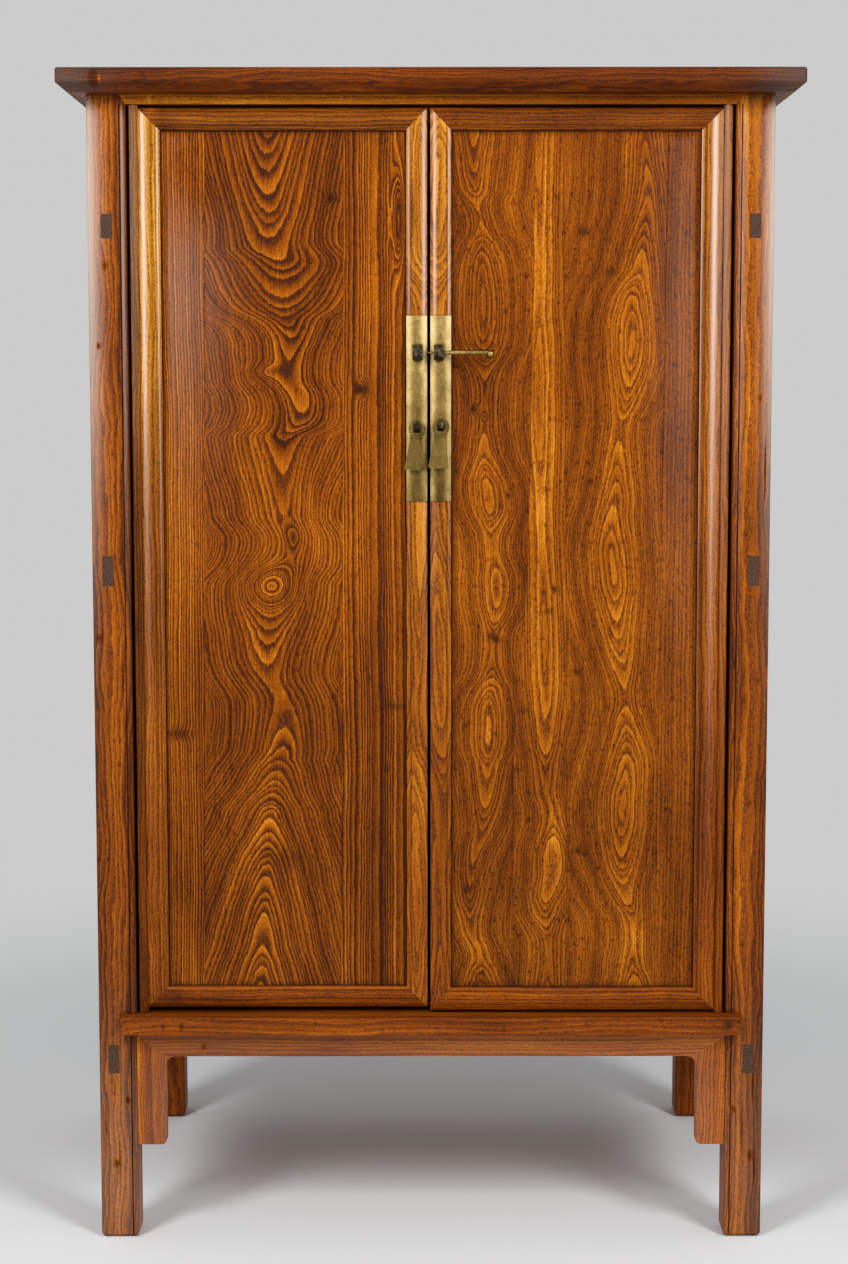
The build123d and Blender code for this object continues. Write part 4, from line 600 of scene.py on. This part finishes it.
def brass_piece(name, members, top_tarnish, low_tarnish, top, low, middle=0.0):
    """Finish nodes as aged brass that is duller towards the bottom, between two heights in mm.

    middle is how much duller the pieces are along their own middle and brighter near their edges: painted
    reflection."""
    material, tree, coordinates, spot = new_material(name)
    across, _, height = add(tree, "SeparateXYZ", spot).node.outputs
    tarnish_and_painted_light = add(tree, "MapRange", height, low, top, low_tarnish, top_tarnish)
    # Faces that look sideways, up or down are darker: painted shade that outlines each piece.
    facing = add(tree, "VectorMath", coordinates["Normal"], (0, 1, 0), operation="DOT_PRODUCT", give=1)
    edge = add(tree, "MapRange", add(tree, "Math", facing, operation="ABSOLUTE"), 0.5, 0.85, 0.6, 0.0)
    tarnish_and_painted_light = add(tree, "Math", tarnish_and_painted_light, edge, operation="ADD")
    # Corners under a pull or beside a staple, within 2.5 mm, are darker too: painted shade.
    open_side = add(tree, "AmbientOcclusion", sockets={"Distance": 0.0025}, give=1, samples=6)
    corner = add(tree, "MapRange", open_side, 0.3, 0.9, 0.9, 0.0)
    tarnish_and_painted_light = add(tree, "Math", tarnish_and_painted_light, corner, operation="ADD")
    if middle:
        # Painted reflection: darker along the plates' middle, brighter near their edges.
        from_gap = add(tree, "Math", add(tree, "Math", across, -DOOR_GAP_X, operation="ADD"),
                       operation="ABSOLUTE")
        off = add(tree, "Math", add(tree, "Math", from_gap, -PLATE_FROM_GAP, operation="ADD"),
                  operation="ABSOLUTE")
        painted_reflection = add(tree, "MapRange", off, 2.0, 7.8, middle, -middle, interpolation_type="SMOOTHSTEP")
        tarnish_and_painted_light = add(tree, "Math", tarnish_and_painted_light, painted_reflection, operation="ADD")
    colour, roughness, relief = add(tree, "Group", spot, tarnish_and_painted_light, node_tree=brass).node.outputs
    bump = add(tree, "Bump", sockets={"Height": relief, "Strength": 0.35, "Distance": 0.0001})
    shader = add(tree, "BsdfPrincipled", colour, sockets={
        "Metallic": 1.0, "Roughness": roughness, "Normal": bump})
    add(tree, "OutputMaterial", shader)
    coat(members, material)


brass_piece("plate brass", ["left_door_face_plate", "right_door_face_plate"], 0.28, 0.78, 760, 590,
            middle=0.22)
brass_piece("boss brass", ["left_door_boss", "right_door_boss"], 0.95, 0.95, 760, 600)
brass_piece("pull brass", ["left_door_pull", "right_door_pull"], 0.84, 0.74, 690, 640)
brass_piece("pin brass", ["locking_pin"], 0.55, 0.55, 760, 600)


# ---- iron staples
# Forged iron eyes whose tails go through the stiles: nearly black and pitted by the hammer and rust,
# with bright spots where they are worn.

iron, tree, _, spot = new_material("forged iron")
# Pits 0.7 mm across over a bloom of rust 3 mm across.
pits, rust = [add(tree, "TexNoise", spot, sockets={"Scale": scale, "Detail": 3.0}) for scale in (1.4, 0.33)]
metal = add(tree, "ValToRGB", add(tree, "Math", pits, 0.5, rust, operation="MULTIPLY_ADD"), stops=[
    (0.45, "#17110d"), (0.68, "#33291f"), (0.90, "#75654e")])
bump = add(tree, "Bump", sockets={"Height": pits, "Strength": 0.6, "Distance": 0.0002})
shader = add(tree, "BsdfPrincipled", metal, sockets={
    "Metallic": 0.9, "Roughness": add(tree, "MapRange", pits, 0.3, 0.7, 0.62, 0.38), "Normal": bump})
add(tree, "OutputMaterial", shader)
coat(["left_door_staple", "right_door_staple", "left_door_pull_staple", "right_door_pull_staple"], iron)


# ---- studio
# A pale paper floor, lit like the object near it; further off the camera sees the plain grey of the
# studio, so there is no horizon. Plain walls and two soft boxes light it.

FLOOR_SPAN = 12.0                   # metres
mesh = bpy.data.meshes.new("studio_floor")
corner = FLOOR_SPAN / 2
mesh.from_pydata([(-corner, -corner, 0), (corner, -corner, 0), (corner, corner, 0), (-corner, corner, 0)], [],
                 [(0, 1, 2, 3)])
studio_floor = bpy.data.objects.new("studio_floor", mesh)
bpy.context.scene.collection.objects.link(studio_floor)

BACKGROUND = "#cbcccb"
LIT, PLAIN = 0.5, 1.35              # metres from the cabinet's middle: lit paper, then plain grey
paper = bpy.data.materials.new("pale paper")
paper.use_nodes = True
tree = paper.node_tree
tree.nodes.clear()
where = add(tree, "TexCoord").node.outputs["Object"]
# Faint unevenness of the paper, about 40 cm across.
mottle = add(tree, "TexNoise", where, sockets={"Scale": 2.5, "Detail": 2.0})
lit = add(tree, "BsdfDiffuse", add(tree, "ValToRGB", mottle, stops=[(0.3, "#f8fbfd"), (0.7, "#fafdff")]))
plain = add(tree, "Emission", linear(BACKGROUND), 1.0)
distance = add(tree, "VectorMath", where, operation="LENGTH", give=1)
far_off = add(tree, "MapRange", distance, LIT, PLAIN, interpolation_type="SMOOTHSTEP")
path = add(tree, "LightPath").node.outputs
seen = add(tree, "Math", path["Is Camera Ray"], path["Is Glossy Ray"], operation="MAXIMUM")
seen = add(tree, "Math", seen, path["Is Transmission Ray"], operation="MAXIMUM")
blend = add(tree, "Math", far_off, seen, operation="MULTIPLY")
add(tree, "OutputMaterial", add(tree, "MixShader", blend, lit, plain))
mesh.materials.append(paper)

# The studio's walls: pale grey to the camera and in reflections, a dimmer fill for the light.
FILL = 0.37
world = bpy.data.worlds.new("studio")
bpy.context.scene.world = world
world.use_nodes = True
tree = world.node_tree
tree.nodes.clear()
path = add(tree, "LightPath").node.outputs
seen = add(tree, "Math", path["Is Camera Ray"], path["Is Transmission Ray"], operation="MAXIMUM")
seen = add(tree, "Math", seen, path["Is Glossy Ray"], operation="MAXIMUM")
fill = add(tree, "Background", linear("#ffffff"), FILL)
walls = add(tree, "Background", linear(BACKGROUND), 1.0)
add(tree, "OutputWorld", add(tree, "MixShader", seen, fill, walls))

# Two upright soft boxes, left and right of the camera, 1.75 m up and turned down to the cabinet.
SOFT_BOX_SIZE = 0.55, 1.1           # metres
SOFT_BOX_WATTS = 26.6
TARGET = Vector((0, 0, 0.6))
for side in (-1, 1):
    light = bpy.data.lights.new("soft_box", "AREA")
    light.shape = "RECTANGLE"
    light.size, light.size_y = SOFT_BOX_SIZE
    light.energy = SOFT_BOX_WATTS
    lamp = bpy.data.objects.new("soft_box", light)
    lamp.location = (side * 1.2, -1.8, 1.75)
    lamp.rotation_euler = (TARGET - lamp.location).to_track_quat("-Z", "Y").to_euler()
    bpy.context.scene.collection.objects.link(lamp)


# ---- camera
# Level with the plates on the doors, two metres from them, turned down six degrees.

camera = bpy.data.cameras.new("camera")
camera.sensor_fit = "VERTICAL"
camera.sensor_height = 36.0         # mm, as the lens
camera.lens = 69.008
viewer = bpy.data.objects.new("camera", camera)
PITCH, YAW, ROLL = 0.102693, -0.000303, -0.000555       # radians
viewer.location = (-0.00625, -2.15006, 0.712635)
viewer.rotation_euler = (Matrix.Rotation(YAW, 3, "Z") @ Matrix.Rotation(math.pi / 2 - PITCH, 3, "X")
                         @ Matrix.Rotation(ROLL, 3, "Z")).to_euler()
bpy.context.scene.collection.objects.link(viewer)
bpy.context.scene.camera = viewer
bpy.context.scene.view_settings.view_transform = "Standard"
